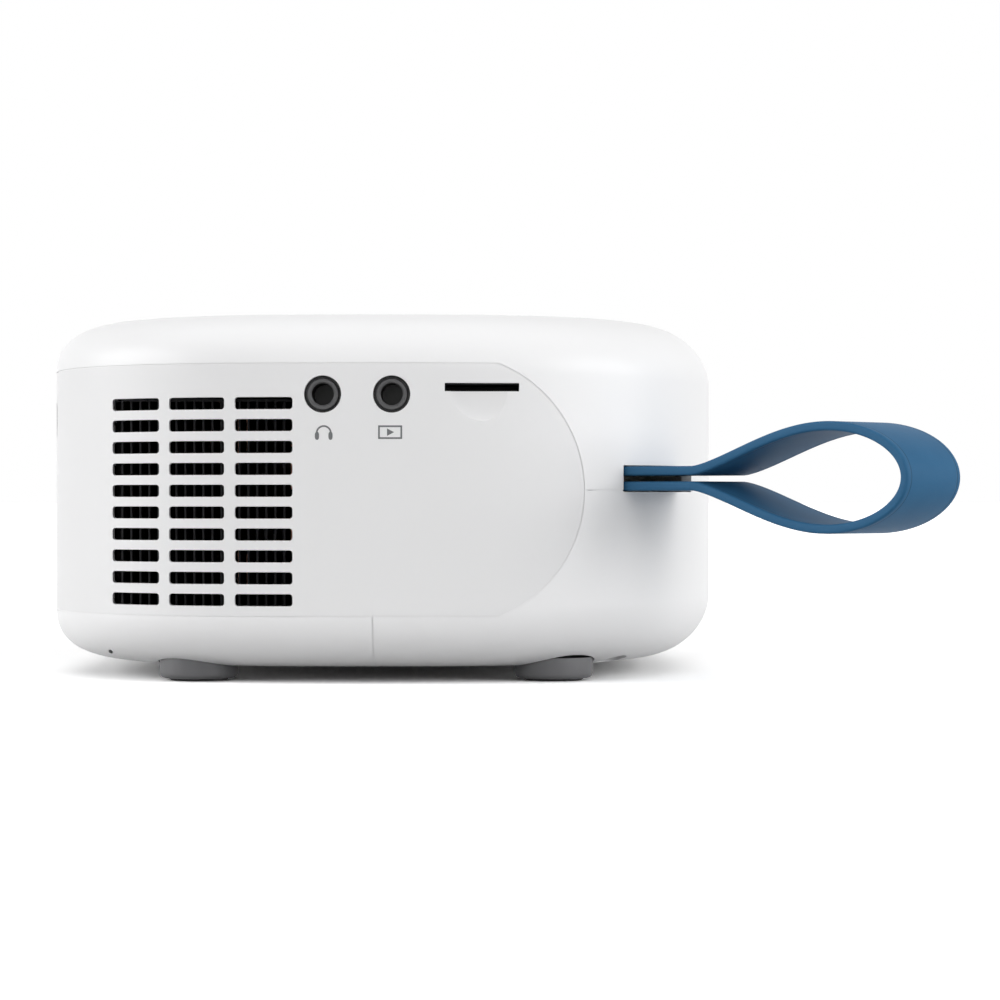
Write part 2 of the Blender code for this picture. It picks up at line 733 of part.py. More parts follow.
def circle(centre, radius, steps):
    return arc(centre, radius, 0, 360, steps)[:-1]


def rounded(left, bottom, right, top, radius, steps=2):
    """A rectangle's outline with round corners."""
    corners = (
        ((right - radius, bottom + radius), -90),
        ((right - radius, top - radius), 0),
        ((left + radius, top - radius), 90),
        ((left + radius, bottom + radius), 180),
    )
    points = []
    for centre, start in corners:
        points += arc(centre, radius, start, start + 90, steps)
    return points


def rectangle(left, bottom, right, top):
    return [(left, bottom), (right, bottom), (right, top), (left, top)]


UPRIGHT = (math.radians(90), 0, 0)
SIDEWAYS = (math.radians(90), 0, math.radians(90))


def ring_body(name, profile, material=None):
    """A closed ring along the outline, from pairs of inset and height over the split."""
    angles = [math.tau * step / PLAN_STEPS for step in range(PLAN_STEPS)]
    rings = []
    for inset, height in profile:
        rings.append([(*plan_point(a, inset), SPLIT_HEIGHT + height) for a in angles])
    work = bmesh.new()
    loft(work, rings, closed=True)
    return link(name, mesh_of(name, work), material, BASE, cutter=material is None)


def band_wall(name, material):
    """The upright wall of the housing with the start of both rounded edges."""
    kept = 3
    low = shell_rings(-1, 0)[1 : 1 + kept][::-1]
    high = shell_rings(1, 0)[1 : 1 + kept]
    work = bmesh.new()
    loft(work, low + high)
    made = link(name, mesh_of(name, work), material, BASE)
    thicken(made, WALL)
    return made


def band_space(name, grow):
    """A prism through the housing along Y: the band's outline with its round ends."""
    half = BAND_HALF_HEIGHT + grow
    radius = BAND_ARC_RADIUS + grow
    swing = math.degrees(math.asin(half / radius))
    left = -HALF_DEPTH - OVERRUN
    outline = [(left, SPLIT_HEIGHT - half)]
    outline += arc((BAND_ARC_CENTRE, SPLIT_HEIGHT), radius, -swing, swing, BAND_ARC_STEPS)
    outline.append((left, SPLIT_HEIGHT + half))
    side = HALF_WIDTH + OVERRUN
    return upright(name, [outline], -side, side)


def trimmed(name, tools):
    """Bosses joined together and trimmed where they would show through the wall."""
    first, *others = tools
    if others:
        cut(first, cutter_group(name, others), "UNION")
    cut(first, CORE, "INTERSECT")
    return first


CORE = core_form()
BAND_CLEARANCE = band_space("band_clearance", SEAM / 2)
BAND_OUTLINE = band_space("band_outline", -SEAM / 2)
FAR_OUT = HALF_WIDTH + OVERRUN
FRONT_OUT = -HALF_DEPTH - OVERRUN
REAR_OUT = HALF_DEPTH + OVERRUN
REAR_HALF = box("rear_half", (-SEAM / 2, -FAR_OUT, BELOW), (REAR_OUT, FAR_OUT, ABOVE))
FRONT_HALF = box("front_half", (FRONT_OUT, -FAR_OUT, BELOW), (SEAM / 2, FAR_OUT, ABOVE))
STRAP_NOTCH = plate(
    "strap_notch",
    [rectangle(-NOTCH_DEPTH, -NOTCH_PLAY, OVERRUN, NOTCH_LENGTH - NOTCH_PLAY)],
    STRAP_LOW - SEAT,
    STRAP_HIGH + SEAT,
    turn=(0, 0, STRAP_TURN),
    place=(STRAP_EXIT_X, STRAP_EXIT_Y, 0),
)

# Screw places in plan, and the height where each post ends on its well
SCREW_PLACES = (
    (POST_NEAR_X, POST_NEAR_Y, POST_BASE),
    (POST_FAR_X, POST_FAR_Y, POST_BASE),
    (ANCHOR_X, ANCHOR_Y, STRAP_LOW),
    (ANCHOR_X, -ANCHOR_Y, STRAP_LOW),
)
BOARD_POSTS = [
    (x, y)
    for x in (BOARD_FRONT + BOARD_POST_INSET, BOARD_REAR - BOARD_POST_INSET)
    for y in (-BOARD_POST_Y, BOARD_POST_Y)
]


def screw_head_top(base):
    """Height of the head's upper face, under the shoulder of the well."""
    return base - SEAT - WELL_SHOULDER - SEAT


def stepped_post(name, x, y, base):
    """A post that hangs from the cover; the rear ones are wider down to the strap's top."""
    wide = POST_COLLAR if base == STRAP_LOW else POST_RADIUS
    profile = [
        (0, ABOVE),
        (wide, ABOVE),
        (wide, STRAP_HIGH + SEAT),
        (POST_RADIUS, STRAP_HIGH + SEAT),
        (POST_RADIUS, base),
        (0, base),
    ]
    return turned(name, "Z", (x, y, 0), profile, steps=SMALL_STEPS)


def top_cover():
    made = shell("top_cover", 1, SEAM / 2, SHELL_WHITE)
    cut(made, BAND_CLEARANCE)
    cut(made, STRAP_NOTCH)
    posts = []
    drills = [rod("button_hole", "Z", (BUTTON_X, 0, 0), BUTTON_RADIUS + SEAT, BAND_HIGH, ABOVE)]
    for i, (x, y, base) in enumerate(SCREW_PLACES, 1):
        posts.append(stepped_post(f"post_{i}", x, y, base))
        top = base + SCREW_BITE + SEAT
        radius = SCREW_RADIUS + SEAT
        drills.append(rod(f"post_bore_{i}", "Z", (x, y, 0), radius, BELOW, top, steps=SMALL_STEPS))
    for i, (x, y) in enumerate(BOARD_POSTS, 1):
        base = BOARD_UNDERSIDE + BOARD_THICK + SEAT
        posts.append(
            rod(f"board_post_{i}", "Z", (x, y, 0), BOARD_POST_RADIUS, base, ABOVE, steps=SMALL_STEPS)
        )
        drills.append(
            rod(
                f"board_post_bore_{i}",
                "Z",
                (x, y, 0),
                BOARD_SCREW_RADIUS + SEAT,
                BELOW,
                base + BOARD_SCREW_BITE + SEAT,
                steps=SMALL_STEPS,
            )
        )
    cut(made, trimmed("top_posts", posts), "UNION")
    cut(made, cutter_group("top_drills", drills))


def foot_places():
    """Number and plan place of each foot; the first two are at the lens end."""
    places = [(x, y) for x in (-FOOT_X, FOOT_X) for y in (-FOOT_Y, FOOT_Y)]
    return list(enumerate(places, 1))


def well(i, radius):
    """A screw's well and its bores, as one boss and a list of drills."""
    x, y, base = SCREW_PLACES[i - 1]
    top = base - SEAT
    shoulder = top - WELL_SHOULDER
    boss = rod(f"well_{i}", "Z", (x, y, 0), radius, BELOW, top, steps=MIDDLE_STEPS)
    mouth = SCREW_HEAD_RADIUS + SEAT
    stem = SCREW_RADIUS + SEAT
    drills = [
        rod(f"well_bore_{i}", "Z", (x, y, 0), mouth, BELOW - OVERRUN, shoulder, steps=SMALL_STEPS),
        rod(f"well_hole_{i}", "Z", (x, y, 0), stem, BELOW, base, steps=SMALL_STEPS),
    ]
    return boss, drills


def foot_seat(i, x, y):
    """A foot's boss and its pocket."""
    radius = FOOT_CUP_RADIUS + SEAT
    boss = rod(f"foot_boss_{i}", "Z", (x, y, 0), radius + FOOT_BOSS_WALL, BELOW, FOOT_BOSS_TOP)
    pocket = rod(f"foot_pocket_{i}", "Z", (x, y, 0), radius, BELOW - OVERRUN, FOOT_CUP_TOP + SEAT)
    return boss, pocket


def rear_lip():
    """Locating rib of the bottom shell that stands behind the top cover's rear wall."""
    inner = WALL + SEAT + LIP_THICK
    profile = [
        (WALL / 2, -LIP_ROOT),
        (WALL / 2, -SEAM),
        (WALL + SEAT, -SEAM),
        (WALL + SEAT, LIP_REACH),
        (inner, LIP_REACH),
        (inner, -LIP_ROOT),
    ]
    made = ring_body("rear_lip", profile)
    cut(made, box("lip_space", (LIP_START, -FAR_OUT, BELOW), (REAR_OUT, FAR_OUT, ABOVE)), "INTERSECT")
    return made


def lap_tongues():
    """Tongues of the bottom shell that reach under the lower front cover."""
    tongues = []
    top = FLOOR + SEAT + LAP_THICK
    for i in range(3):
        y = (i - 1) * LAP_SPREAD
        left, right = y - LAP_WIDTH / 2, y + LAP_WIDTH / 2
        outline = [
            (-LAP_REACH, FLOOR + SEAT),
            (SEAM, FLOOR + SEAT),
            (SEAM, FLOOR - WALL / 2),
            (LAP_REACH, FLOOR - WALL / 2),
            (LAP_REACH, top),
            (-LAP_REACH, top),
        ]
        tongues.append(upright(f"lap_tongue_{i + 1}", [outline], left, right))
    return tongues


def bottom_shell():
    made = shell("bottom_shell", -1, SEAM / 2, SHELL_WHITE)
    cut(made, BAND_CLEARANCE)
    cut(made, FRONT_HALF)
    cut(made, cutter_group("bottom_seams", [rear_lip(), *lap_tongues()]), "UNION")
    cut(made, STRAP_NOTCH)
    bosses = []
    drills = []
    for i in (3, 4):
        boss, bores = well(i, POST_COLLAR)
        bosses.append(boss)
        drills += bores
    for i, (x, y) in foot_places()[2:]:
        boss, pocket = foot_seat(i, x, y)
        bosses.append(boss)
        drills.append(pocket)
    insert_top = FOOT_LIFT + SEAT + INSERT_LENGTH
    boss_radius = INSERT_RADIUS + SEAT + INSERT_BOSS
    boss_top = insert_top + SEAT + INSERT_BOSS
    place = (INSERT_X, 0, 0)
    bosses.append(rod("insert_boss", "Z", place, boss_radius, BELOW, boss_top))
    drills.append(rod("insert_pocket", "Z", place, INSERT_RADIUS + SEAT, BELOW, insert_top + SEAT))
    speaker = (SPEAKER_X, SPEAKER_Y, 0)
    inside = SPEAKER_RADIUS - SPEAKER_RIM
    rim = [
        (SPEAKER_RADIUS, SPEAKER_BASE - SEAT),
        (SPEAKER_RADIUS, BELOW),
        (inside, BELOW),
        (inside, SPEAKER_BASE - SEAT),
    ]
    bosses.append(turned("speaker_rim", "Z", speaker, rim, closed=True))
    for i in range(SPEAKER_SLOTS):
        y = SPEAKER_Y + (i - (SPEAKER_SLOTS - 1) / 2) * SPEAKER_SLOT_PITCH
        left, right = SPEAKER_X - SPEAKER_SLOT_LENGTH / 2, SPEAKER_X + SPEAKER_SLOT_LENGTH / 2
        low, high = y - SPEAKER_SLOT_WIDTH / 2, y + SPEAKER_SLOT_WIDTH / 2
        slot = rounded(left, low, right, high, SPEAKER_SLOT_WIDTH / 2 - MERGE)
        drills.append(plate(f"speaker_slot_{i + 1}", [slot], BELOW, SPEAKER_BASE - SEAT))
    inlet = (0, INLET_Y, INLET_HEIGHT)
    drills.append(rod("inlet_hole", "X", inlet, INLET_RADIUS + SEAT, 0, REAR_OUT))
    step = INLET_FACE - INLET_FLANGE_THICK - SEAT
    drills.append(rod("inlet_step", "X", inlet, INLET_FLANGE + SEAT, step, REAR_OUT))
    cut(made, trimmed("bottom_bosses", bosses), "UNION")
    cut(made, cutter_group("bottom_drills", drills))


def tray_posts():
    places = [(x, y) for x in (TRAY_POST_FRONT, TRAY_POST_REAR) for y in (-TRAY_POST_Y, TRAY_POST_Y)]
    return [
        rod(f"tray_post_{i}", "Z", (x, y, 0), TRAY_POST_RADIUS, BELOW, TRAY_HEIGHT - SEAT, steps=SMALL_STEPS)
        for i, (x, y) in enumerate(places, 1)
    ]


def bottom_front_cover():
    made = shell("bottom_front_cover", -1, SEAM / 2, SHELL_WHITE)
    cut(made, BAND_CLEARANCE)
    cut(made, REAR_HALF)
    bosses = tray_posts()
    drills = []
    for i in (1, 2):
        boss, bores = well(i, WELL_RADIUS)
        bosses.append(boss)
        drills += bores
    for i, (x, y) in foot_places()[:2]:
        boss, pocket = foot_seat(i, x, y)
        bosses.append(boss)
        drills.append(pocket)
    pinhole = (PINHOLE_X, 0, PINHOLE_HEIGHT)
    drills.append(rod("pinhole", "Y", pinhole, PINHOLE_RADIUS, -HALF_WIDTH, -FOOT_Y, steps=8))
    cut(made, trimmed("front_bosses", bosses), "UNION")
    cut(made, cutter_group("front_drills", drills))


def vent_cutters():
    """Rows of slots through both sides of the band."""
    slots = []
    for row in range(VENT_ROWS):
        height = BAND_HIGH - VENT_TOP_DROP - row * VENT_PITCH
        right = VENT_EDGE
        for column, share in enumerate(VENT_LENGTH_SHARES, 1):
            left = right - VENT_LENGTH * share
            low, high = height - VENT_HEIGHT / 2, height + VENT_HEIGHT / 2
            outline = rectangle(left, low, right, high)
            slots.append(upright(f"vent_{row + 1}_{column}", [outline], -FAR_OUT, FAR_OUT))
            right = left - VENT_GAP
    return slots


def band_hooks():
    """Hooks on the band's inner face that reach behind the top and bottom covers."""
    inner = WALL + SEAT + HOOK_EASE
    half = BAND_HALF_HEIGHT
    places = []
    for side in (-1, 1):
        for x in HOOK_PLACES:
            low, high = sorted((side * HALF_WIDTH * HOOK_SPREAD_SHARE, side * FAR_OUT))
            places.append((x, low, high))
    hooks = []
    for name, sign in (("upper", 1), ("lower", -1)):
        profile = [
            (WALL / 2, sign * (half - HOOK_ROOT)),
            (WALL / 2, sign * (half - SEAM)),
            (inner, sign * (half - SEAM)),
            (inner, sign * (half + HOOK_REACH)),
            (inner + HOOK_DEPTH, sign * (half + HOOK_REACH)),
            (inner + HOOK_DEPTH, sign * (half - HOOK_ROOT)),
        ]
        made = ring_body(f"hooks_{name}", profile)
        spaces = [
            box(f"hook_space_{name}_{i}", (x, low, BELOW), (x + HOOK_WIDTH, high, ABOVE))
            for i, (x, low, high) in enumerate(places, 1)
        ]
        first, *others = spaces
        cut(first, cutter_group(f"hook_spaces_{name}", others), "UNION")
        cut(made, first, "INTERSECT")
        hooks.append(made)
    return hooks


def card_scoop():
    """The finger scoop under the card slot, sunk into the band."""
    half = CARD_SLOT_WIDTH / 2
    reach = CARD_SCOOP_REACH
    outline = [
        (CARD_X + half * math.cos(a), CARD_HEIGHT + reach * math.sin(a))
        for a in [math.radians(180 + 180 * step / 10) for step in range(11)]
    ]
    face = -wall_y(CARD_X)
    return upright("card_scoop", [outline], face - OVERRUN, face + CARD_SCOOP_DEPTH)


def wrap_band():
    made = band_wall("wrap_band", BAND_WHITE)
    cut(made, BAND_OUTLINE, "INTERSECT")
    drills = vent_cutters()
    half = CARD_SLOT_WIDTH / 2
    low, high = CARD_HEIGHT - CARD_SLOT_HEIGHT / 2, CARD_HEIGHT + CARD_SLOT_HEIGHT / 2
    slot = [rectangle(CARD_X - half, low, CARD_X + half, high)]
    drills.append(upright("card_slot", slot, -FAR_OUT, -BOARD_HALF_WIDTH))
    drills.append(card_scoop())
    for name, x in (("headphone", JACK_X), ("av", JACK_X + JACK_PITCH)):
        place = (x, 0, JACK_HEIGHT)
        drills.append(rod(f"{name}_hole", "Y", place, JACK_HOLE, -FAR_OUT, -BOARD_HALF_WIDTH))
    for name, x, width, height in (
        ("hdmi", HDMI_X, HDMI_WIDTH, HDMI_HEIGHT),
        ("usb", USB_X, USB_WIDTH, USB_HEIGHT),
    ):
        top = BOARD_UNDERSIDE
        outline = rectangle(
            x - width / 2 - SEAT, top - height - SEAT - SEAT, x + width / 2 + SEAT, top
        )
        drills.append(upright(f"{name}_opening", [outline], BOARD_HALF_WIDTH, FAR_OUT))
    lens = (0, LENS_Y, ENGINE_HEIGHT)
    drills.append(rod("bezel_hole", "X", lens, BEZEL_RADIUS + SEAT, FRONT_OUT, ENGINE_FRONT))
    window = (0, WINDOW_Y, WINDOW_HEIGHT)
    drills.append(rod("window_hole", "X", window, WINDOW_RADIUS + SEAT, FRONT_OUT, ENGINE_FRONT))
    cut(made, cutter_group("hooks", band_hooks()), "UNION")
    cut(made, cutter_group("band_drills", drills))


def ir_window():
    """A clear-to-infrared plug that follows the band's curve."""
    made = band_wall("ir_window", DARK_WINDOW)
    place = (0, WINDOW_Y, WINDOW_HEIGHT)
    cut(made, rod("window_plug", "X", place, WINDOW_RADIUS, FRONT_OUT, ENGINE_FRONT), "INTERSECT")


def feet():
    for i, (x, y) in foot_places():
        inner = FOOT_PAD_RADIUS + SEAT
        roof = FOOT_PAD_THICK + SEAT
        cup = [
            (0, FOOT_CUP_TOP),
            (FOOT_CUP_RADIUS, FOOT_CUP_TOP),
            (FOOT_CUP_RADIUS, FOOT_CUP_BASE + FOOT_CUP_ROUND),
            (FOOT_CUP_RADIUS - FOOT_CUP_ROUND, FOOT_CUP_BASE),
            (inner, FOOT_CUP_BASE),
            (inner, roof),
            (0, roof),
        ]
        turned(f"foot_cup_{i}", "Z", (x, y, 0), cup, FOOT_GREY)
        pad = [(0, FOOT_PAD_THICK), (FOOT_PAD_RADIUS, FOOT_PAD_THICK), (FOOT_PAD_RADIUS, 0), (0, 0)]
        turned(f"foot_pad_{i}", "Z", (x, y, 0), pad, FOOT_RUBBER)


def strap_side(straight, low, reach, high):
    """Upper half of one side of the loop, from the straight part to the far end."""
    points = []
    for step in range(STRAP_STEPS):
        t = step / STRAP_STEPS
        x = straight + (STRAP_PEAK_REACH - straight) * t
        rise = math.sin(t * math.pi / 2) ** STRAP_RISE_POWER
        points.append((x + STRAP_ANCHOR, low + (high - low) * rise))
    for step in range(STRAP_STEPS + 1):
        a = math.pi / 2 * step / STRAP_STEPS
        x = STRAP_PEAK_REACH + (reach - STRAP_PEAK_REACH) * math.sin(a)
        points.append((x + STRAP_ANCHOR, high * math.cos(a)))
    return points[:-1] + [(reach + STRAP_ANCHOR, 0)]


def strap():
    """The folded strap: a loop drawn from the side, with a round end on the cover's post."""
    half = STRAP_WIDTH / 2
    inner_reach = STRAP_REACH - STRAP_HEAD_THICK
    outer = [(-half, STRAP_HALF_THICK)]
    outer += strap_side(STRAP_STRAIGHT, STRAP_HALF_THICK, STRAP_REACH, STRAP_HALF_LOOP)
    inner = [(STRAP_ANCHOR - STRAP_SLIT_DEPTH, STRAP_SLIT / 2)]
    inner_high = STRAP_HALF_LOOP - STRAP_THICK
    inner += strap_side(STRAP_PARTING, STRAP_SLIT / 2, inner_reach, inner_high)
    outlines = [side + [(x, -z) for x, z in side[-2::-1]] for side in (outer, inner)]
    made = plate(
        "strap",
        outlines,
        -half,
        half,
        STRAP_BLUE,
        turn=(math.radians(90), 0, STRAP_TURN),
        place=(ANCHOR_X, ANCHOR_Y, STRAP_HEIGHT),
    )
    out = half + OVERRUN
    corner = [(0, out), (-out, out), (-out, -out), (0, -out)]
    corner += [(-x, y) for x, y in arc((0, 0), half, -90, 90, SMALL_STEPS)]
    turn = (0, 0, STRAP_TURN)
    place = (ANCHOR_X, ANCHOR_Y, 0)
    low = STRAP_LOW - OVERRUN
    high = STRAP_HIGH + OVERRUN
    cut(made, plate("strap_end", [corner], low, high, turn=turn, place=place))
    cut(made, rod("strap_hole", "Z", place, POST_RADIUS + SEAT, BELOW, ABOVE))


def jack(name, x):
    """A 3.5 mm jack: a block under the board with a barrel into the band's hole."""
    top = BOARD_UNDERSIDE - SEAT
    half = JACK_BODY_WIDTH / 2
    front = -(wall_y(max(abs(x - half), abs(x + half))) - WALL - SEAT - SEAT)
    mouth = -wall_y(x) + JACK_RECESS
    made = box(
        name,
        (x - half, front, top - JACK_BODY_HEIGHT),
        (x + half, front + JACK_BODY_DEPTH, top),
        JACK_BLACK,
    )
    place = (x, 0, JACK_HEIGHT)
    cut(made, rod(f"{name}_barrel", "Y", place, JACK_BARREL, mouth, front + OVERRUN), "UNION")
    bore = rod(f"{name}_bore", "Y", place, JACK_BORE, mouth - OVERRUN, mouth + JACK_BORE_DEPTH, steps=24)
    cut(made, bore)


def card_socket():
    """A card socket under the board: a flat box with its mouth behind the slot."""
    half = CARD_SOCKET_WIDTH / 2
    high = BOARD_UNDERSIDE - SEAT
    low = high - CARD_SOCKET_HEIGHT
    front = -(wall_y(CARD_X + half) - WALL - SEAT - SEAT)
    back = front + CARD_SOCKET_DEPTH
    made = box("card_socket", (CARD_X - half, front, low), (CARD_X + half, back, high), PLAIN_STEEL)
    inside = CARD_SLOT_WIDTH / 2
    middle = (low + high) / 2
    mouth = box(
        "card_mouth",
        (CARD_X - inside, front - OVERRUN, middle - CARD_SOCKET_MOUTH / 2),
        (CARD_X + inside, back - CARD_SOCKET_MOUTH, middle + CARD_SOCKET_MOUTH / 2),
    )
    cut(made, mouth)


def port(name, x, width, height, depth):
    """A shielded socket under the board, in the far side's opening, with its tongue."""
    high = BOARD_UNDERSIDE - SEAT
    low = high - height
    left, right = x - width / 2, x + width / 2
    mouth = wall_y(max(abs(left), abs(right))) - SOCKET_WALL
    back = mouth - depth
    made = box(name, (left, back, low), (right, mouth, high), PLAIN_STEEL)
    shield = SOCKET_WALL
    floor = back + SOCKET_BACK
    inside = box(
        f"{name}_inside",
        (left + shield, floor, low + shield),
        (right - shield, mouth + OVERRUN, high - shield),
    )
    middle = (low + high) / 2
    inset = shield + SOCKET_TONGUE
    tongue = box(
        f"{name}_tongue",
        (left + inset, back + SOCKET_BACK / 2, middle - SOCKET_TONGUE / 2),
        (right - inset, mouth - SOCKET_TONGUE, middle + SOCKET_TONGUE / 2),
    )
    cut(made, inside)
    cut(made, tongue, "UNION")


def main_board():
    outline = rounded(BOARD_FRONT, -BOARD_HALF_WIDTH, BOARD_REAR, BOARD_HALF_WIDTH, BOARD_CORNER)
    holes = [circle(place, BOARD_SCREW_RADIUS + SEAT, SMALL_STEPS) for place in BOARD_POSTS]
    top = BOARD_UNDERSIDE + BOARD_THICK
    plate("main_board", [outline, *holes], BOARD_UNDERSIDE, top, BOARD_GREEN)


def screw(name, x, y, tip, head_top, radius, head_radius, head_thick):
    """A pan-head screw driven upwards, with a round drive recess."""
    bottom = head_top - head_thick
    profile = [
        (0, tip),
        (radius, tip - radius),
        (radius, head_top),
        (head_radius, head_top),
        (head_radius, bottom),
        (SCREW_DRIVE_RADIUS, bottom),
        (SCREW_DRIVE_RADIUS, bottom + SCREW_DRIVE_DEPTH),
        (0, bottom + SCREW_DRIVE_DEPTH),
    ]
    turned(name, "Z", (x, y, 0), profile, PLAIN_STEEL, steps=SMALL_STEPS)


def screws():
    for i, (x, y, base) in enumerate(SCREW_PLACES, 1):
        name = f"housing_screw_{i}"
        tip = base + SCREW_BITE
        head = screw_head_top(base)
        screw(name, x, y, tip, head, SCREW_RADIUS, SCREW_HEAD_RADIUS, SCREW_HEAD_THICK)
    for i, (x, y) in enumerate(BOARD_POSTS, 1):
        name = f"board_screw_{i}"
        tip = BOARD_UNDERSIDE + BOARD_THICK + BOARD_SCREW_BITE
        head = BOARD_UNDERSIDE - SEAT
        screw(name, x, y, tip, head, BOARD_SCREW_RADIUS, BOARD_SCREW_HEAD, SCREW_HEAD_THICK)


def inlet():
    """The round power inlet and the nut that clamps it to the rear wall."""
    place = (0, INLET_Y, INLET_HEIGHT)
    back = INLET_FACE - INLET_LENGTH
    collar = INLET_FACE - INLET_FLANGE_THICK
    profile = [
        (0, INLET_FACE - INLET_BORE),
        (INLET_PIN, INLET_FACE - INLET_BORE),
        (INLET_PIN, back + INLET_BORE),
        (INLET_BORE, back + INLET_BORE),
        (INLET_BORE, INLET_FACE),
        (INLET_FLANGE, INLET_FACE),
        (INLET_FLANGE, collar),
        (INLET_RADIUS, collar),
        (INLET_RADIUS, back),
        (0, back),
    ]
    turned("dc_inlet", "X", place, profile, BLACK_PLASTIC)
    high = wall_x(INLET_Y + INLET_NUT_RADIUS) - WALL - SEAT
    low = high - INLET_NUT_THICK
    hexagon = circle((0, 0), INLET_NUT_RADIUS, 6)
    hole = circle((0, 0), INLET_RADIUS + SEAT, ROUND_STEPS)
    plate("dc_inlet_nut", [hexagon, hole], low, high, PLAIN_STEEL, turn=TURNS["X"], place=place)


def power_button():
    place = (BUTTON_X, 0, 0)
    flange_top = BODY_TOP - CROWN - WALL
    stem_end = SWITCH_TOP + BUTTON_TRAVEL + SEAT
    profile = [
        (0, BODY_TOP - BUTTON_DIP - BUTTON_ROUND),
        (BUTTON_RADIUS * BUTTON_DISH_SHARE, BODY_TOP - BUTTON_DIP),
        (BUTTON_RADIUS - BUTTON_ROUND, BODY_TOP - BUTTON_DIP),
        (BUTTON_RADIUS, BODY_TOP - BUTTON_DIP - BUTTON_ROUND),
        (BUTTON_RADIUS, flange_top),
        (BUTTON_RADIUS + BUTTON_FLANGE, flange_top),
        (BUTTON_RADIUS + BUTTON_FLANGE, flange_top - BUTTON_FLANGE),
        (BUTTON_STEM_RADIUS, flange_top - BUTTON_FLANGE),
        (BUTTON_STEM_RADIUS, stem_end),
        (0, stem_end),
    ]
    turned("power_button", "Z", place, profile, BUTTON_GREY)
    half = SWITCH_SIDE / 2
    low = BOARD_UNDERSIDE + BOARD_THICK + SEAT
    high = low + SWITCH_HEIGHT
    made = box("key_switch", (BUTTON_X - half, -half, low), (BUTTON_X + half, half, high), BLACK_PLASTIC)
    root = low + SWITCH_CAP_HEIGHT
    plunger = rod("key_plunger", "Z", place, SWITCH_CAP_RADIUS, root, SWITCH_TOP, steps=SMALL_STEPS)
    cut(made, plunger, "UNION")


def lens_profile(radius, low, high, crown_low, crown_high):
    """Half section of a lens with a plain rim between two heights and a crown on each side."""
    points = []
    for crown, edge, sign in ((crown_high, high, 1), (crown_low, low, -1)):
        rise = [
            (radius * share, edge + sign * crown * (1 - share**2)) for share in LENS_FACE_SHARES
        ]
        points += rise if sign > 0 else rise[::-1]
    return points


def lens_group():
    """The fixed bezel, the focus ring that turns in it, and the sliding barrel with its lenses."""
    place = (0, LENS_Y, ENGINE_HEIGHT)
    inner = BEZEL_RADIUS - BEZEL_WALL
    lip = inner - BEZEL_LIP
    bezel = [
        (BEZEL_RADIUS + BEZEL_FLANGE, BEZEL_BACK),
        (BEZEL_RADIUS + BEZEL_FLANGE, BEZEL_SHELF),
        (BEZEL_RADIUS, BEZEL_SHELF),
        (BEZEL_RADIUS, BEZEL_FRONT + BEZEL_WALL / 2),
        (BEZEL_RADIUS - BEZEL_WALL / 2, BEZEL_FRONT),
        (inner, BEZEL_FRONT),
        (inner, BEZEL_SHELF),
        (lip, BEZEL_SHELF),
        (lip, BEZEL_BACK),
    ]
    turned("lens_bezel", "X", place, bezel, BAND_WHITE, closed=True)

    back = BEZEL_SHELF - SEAT
    outline = []
    for rib in range(RING_RIBS):
        for share, drop in ((0, 0), (0.5, 0), (0.5, RING_RIB), (1, RING_RIB)):
            a = math.tau * (rib + share) / RING_RIBS
            radius = RING_RADIUS - drop
            outline.append((radius * math.cos(a), radius * math.sin(a)))
    bore = circle((0, 0), RING_RADIUS - RING_WALL, RING_RIBS)
    turn = TURNS["X"]
    ring = plate("focus_ring", [outline, bore], RING_FRONT, back, BLACK_PLASTIC, turn=turn, place=place)
    mouth = RING_RADIUS - RING_WALL
    bevel = [
        (mouth - OVERRUN, RING_FRONT + RING_CHAMFER),
        (mouth - MERGE, RING_FRONT + RING_CHAMFER),
        (mouth + RING_CHAMFER + OVERRUN, RING_FRONT - OVERRUN),
        (mouth - OVERRUN, RING_FRONT - OVERRUN),
    ]
    cut(ring, turned("ring_bevel", "X", place, bevel, closed=True))

    bore = BARREL_RADIUS - BARREL_WALL
    shelf = bore - BARREL_SHELF
    front_seat = BARREL_FRONT + LENS_RECESS + LENS_RIM + SEAT
    rear_seat = BARREL_BACK - LENS_RECESS - LENS_RIM - SEAT
    barrel = [
        (BARREL_RADIUS, BARREL_BACK),
        (BARREL_RADIUS, BARREL_FRONT),
        (bore, BARREL_FRONT),
        (bore, front_seat),
        (shelf, front_seat),
        (shelf, rear_seat),
        (bore, rear_seat),
        (bore, BARREL_BACK),
    ]
    turned("lens_barrel", "X", place, barrel, BLACK_PLASTIC, closed=True)
    radius = bore - SEAT
    low = BARREL_FRONT + LENS_RECESS
    front = lens_profile(radius, low, low + LENS_RIM, LENS_CROWN, LENS_CROWN / 2)
    turned("front_lens", "X", place, front, CLEAR_GLASS)
    high = BARREL_BACK - LENS_RECESS
    rear = lens_profile(radius, high - LENS_RIM, high, LENS_CROWN / 2, LENS_CROWN)
    turned("rear_lens", "X", place, rear, CLEAR_GLASS)


def sheet_cutter(name, y):
    """The pair of grooves that hold one sheet, cut as a slice across the engine."""
    half = ENGINE_INNER + GROOVE
    gap = SHEET_THICK / 2 + SEAT
    low = (ENGINE_X - half, y - gap, ENGINE_BASE + ENGINE_WALL)
    return box(name, low, (ENGINE_X + half, y + gap, ENGINE_RIM + OVERRUN))


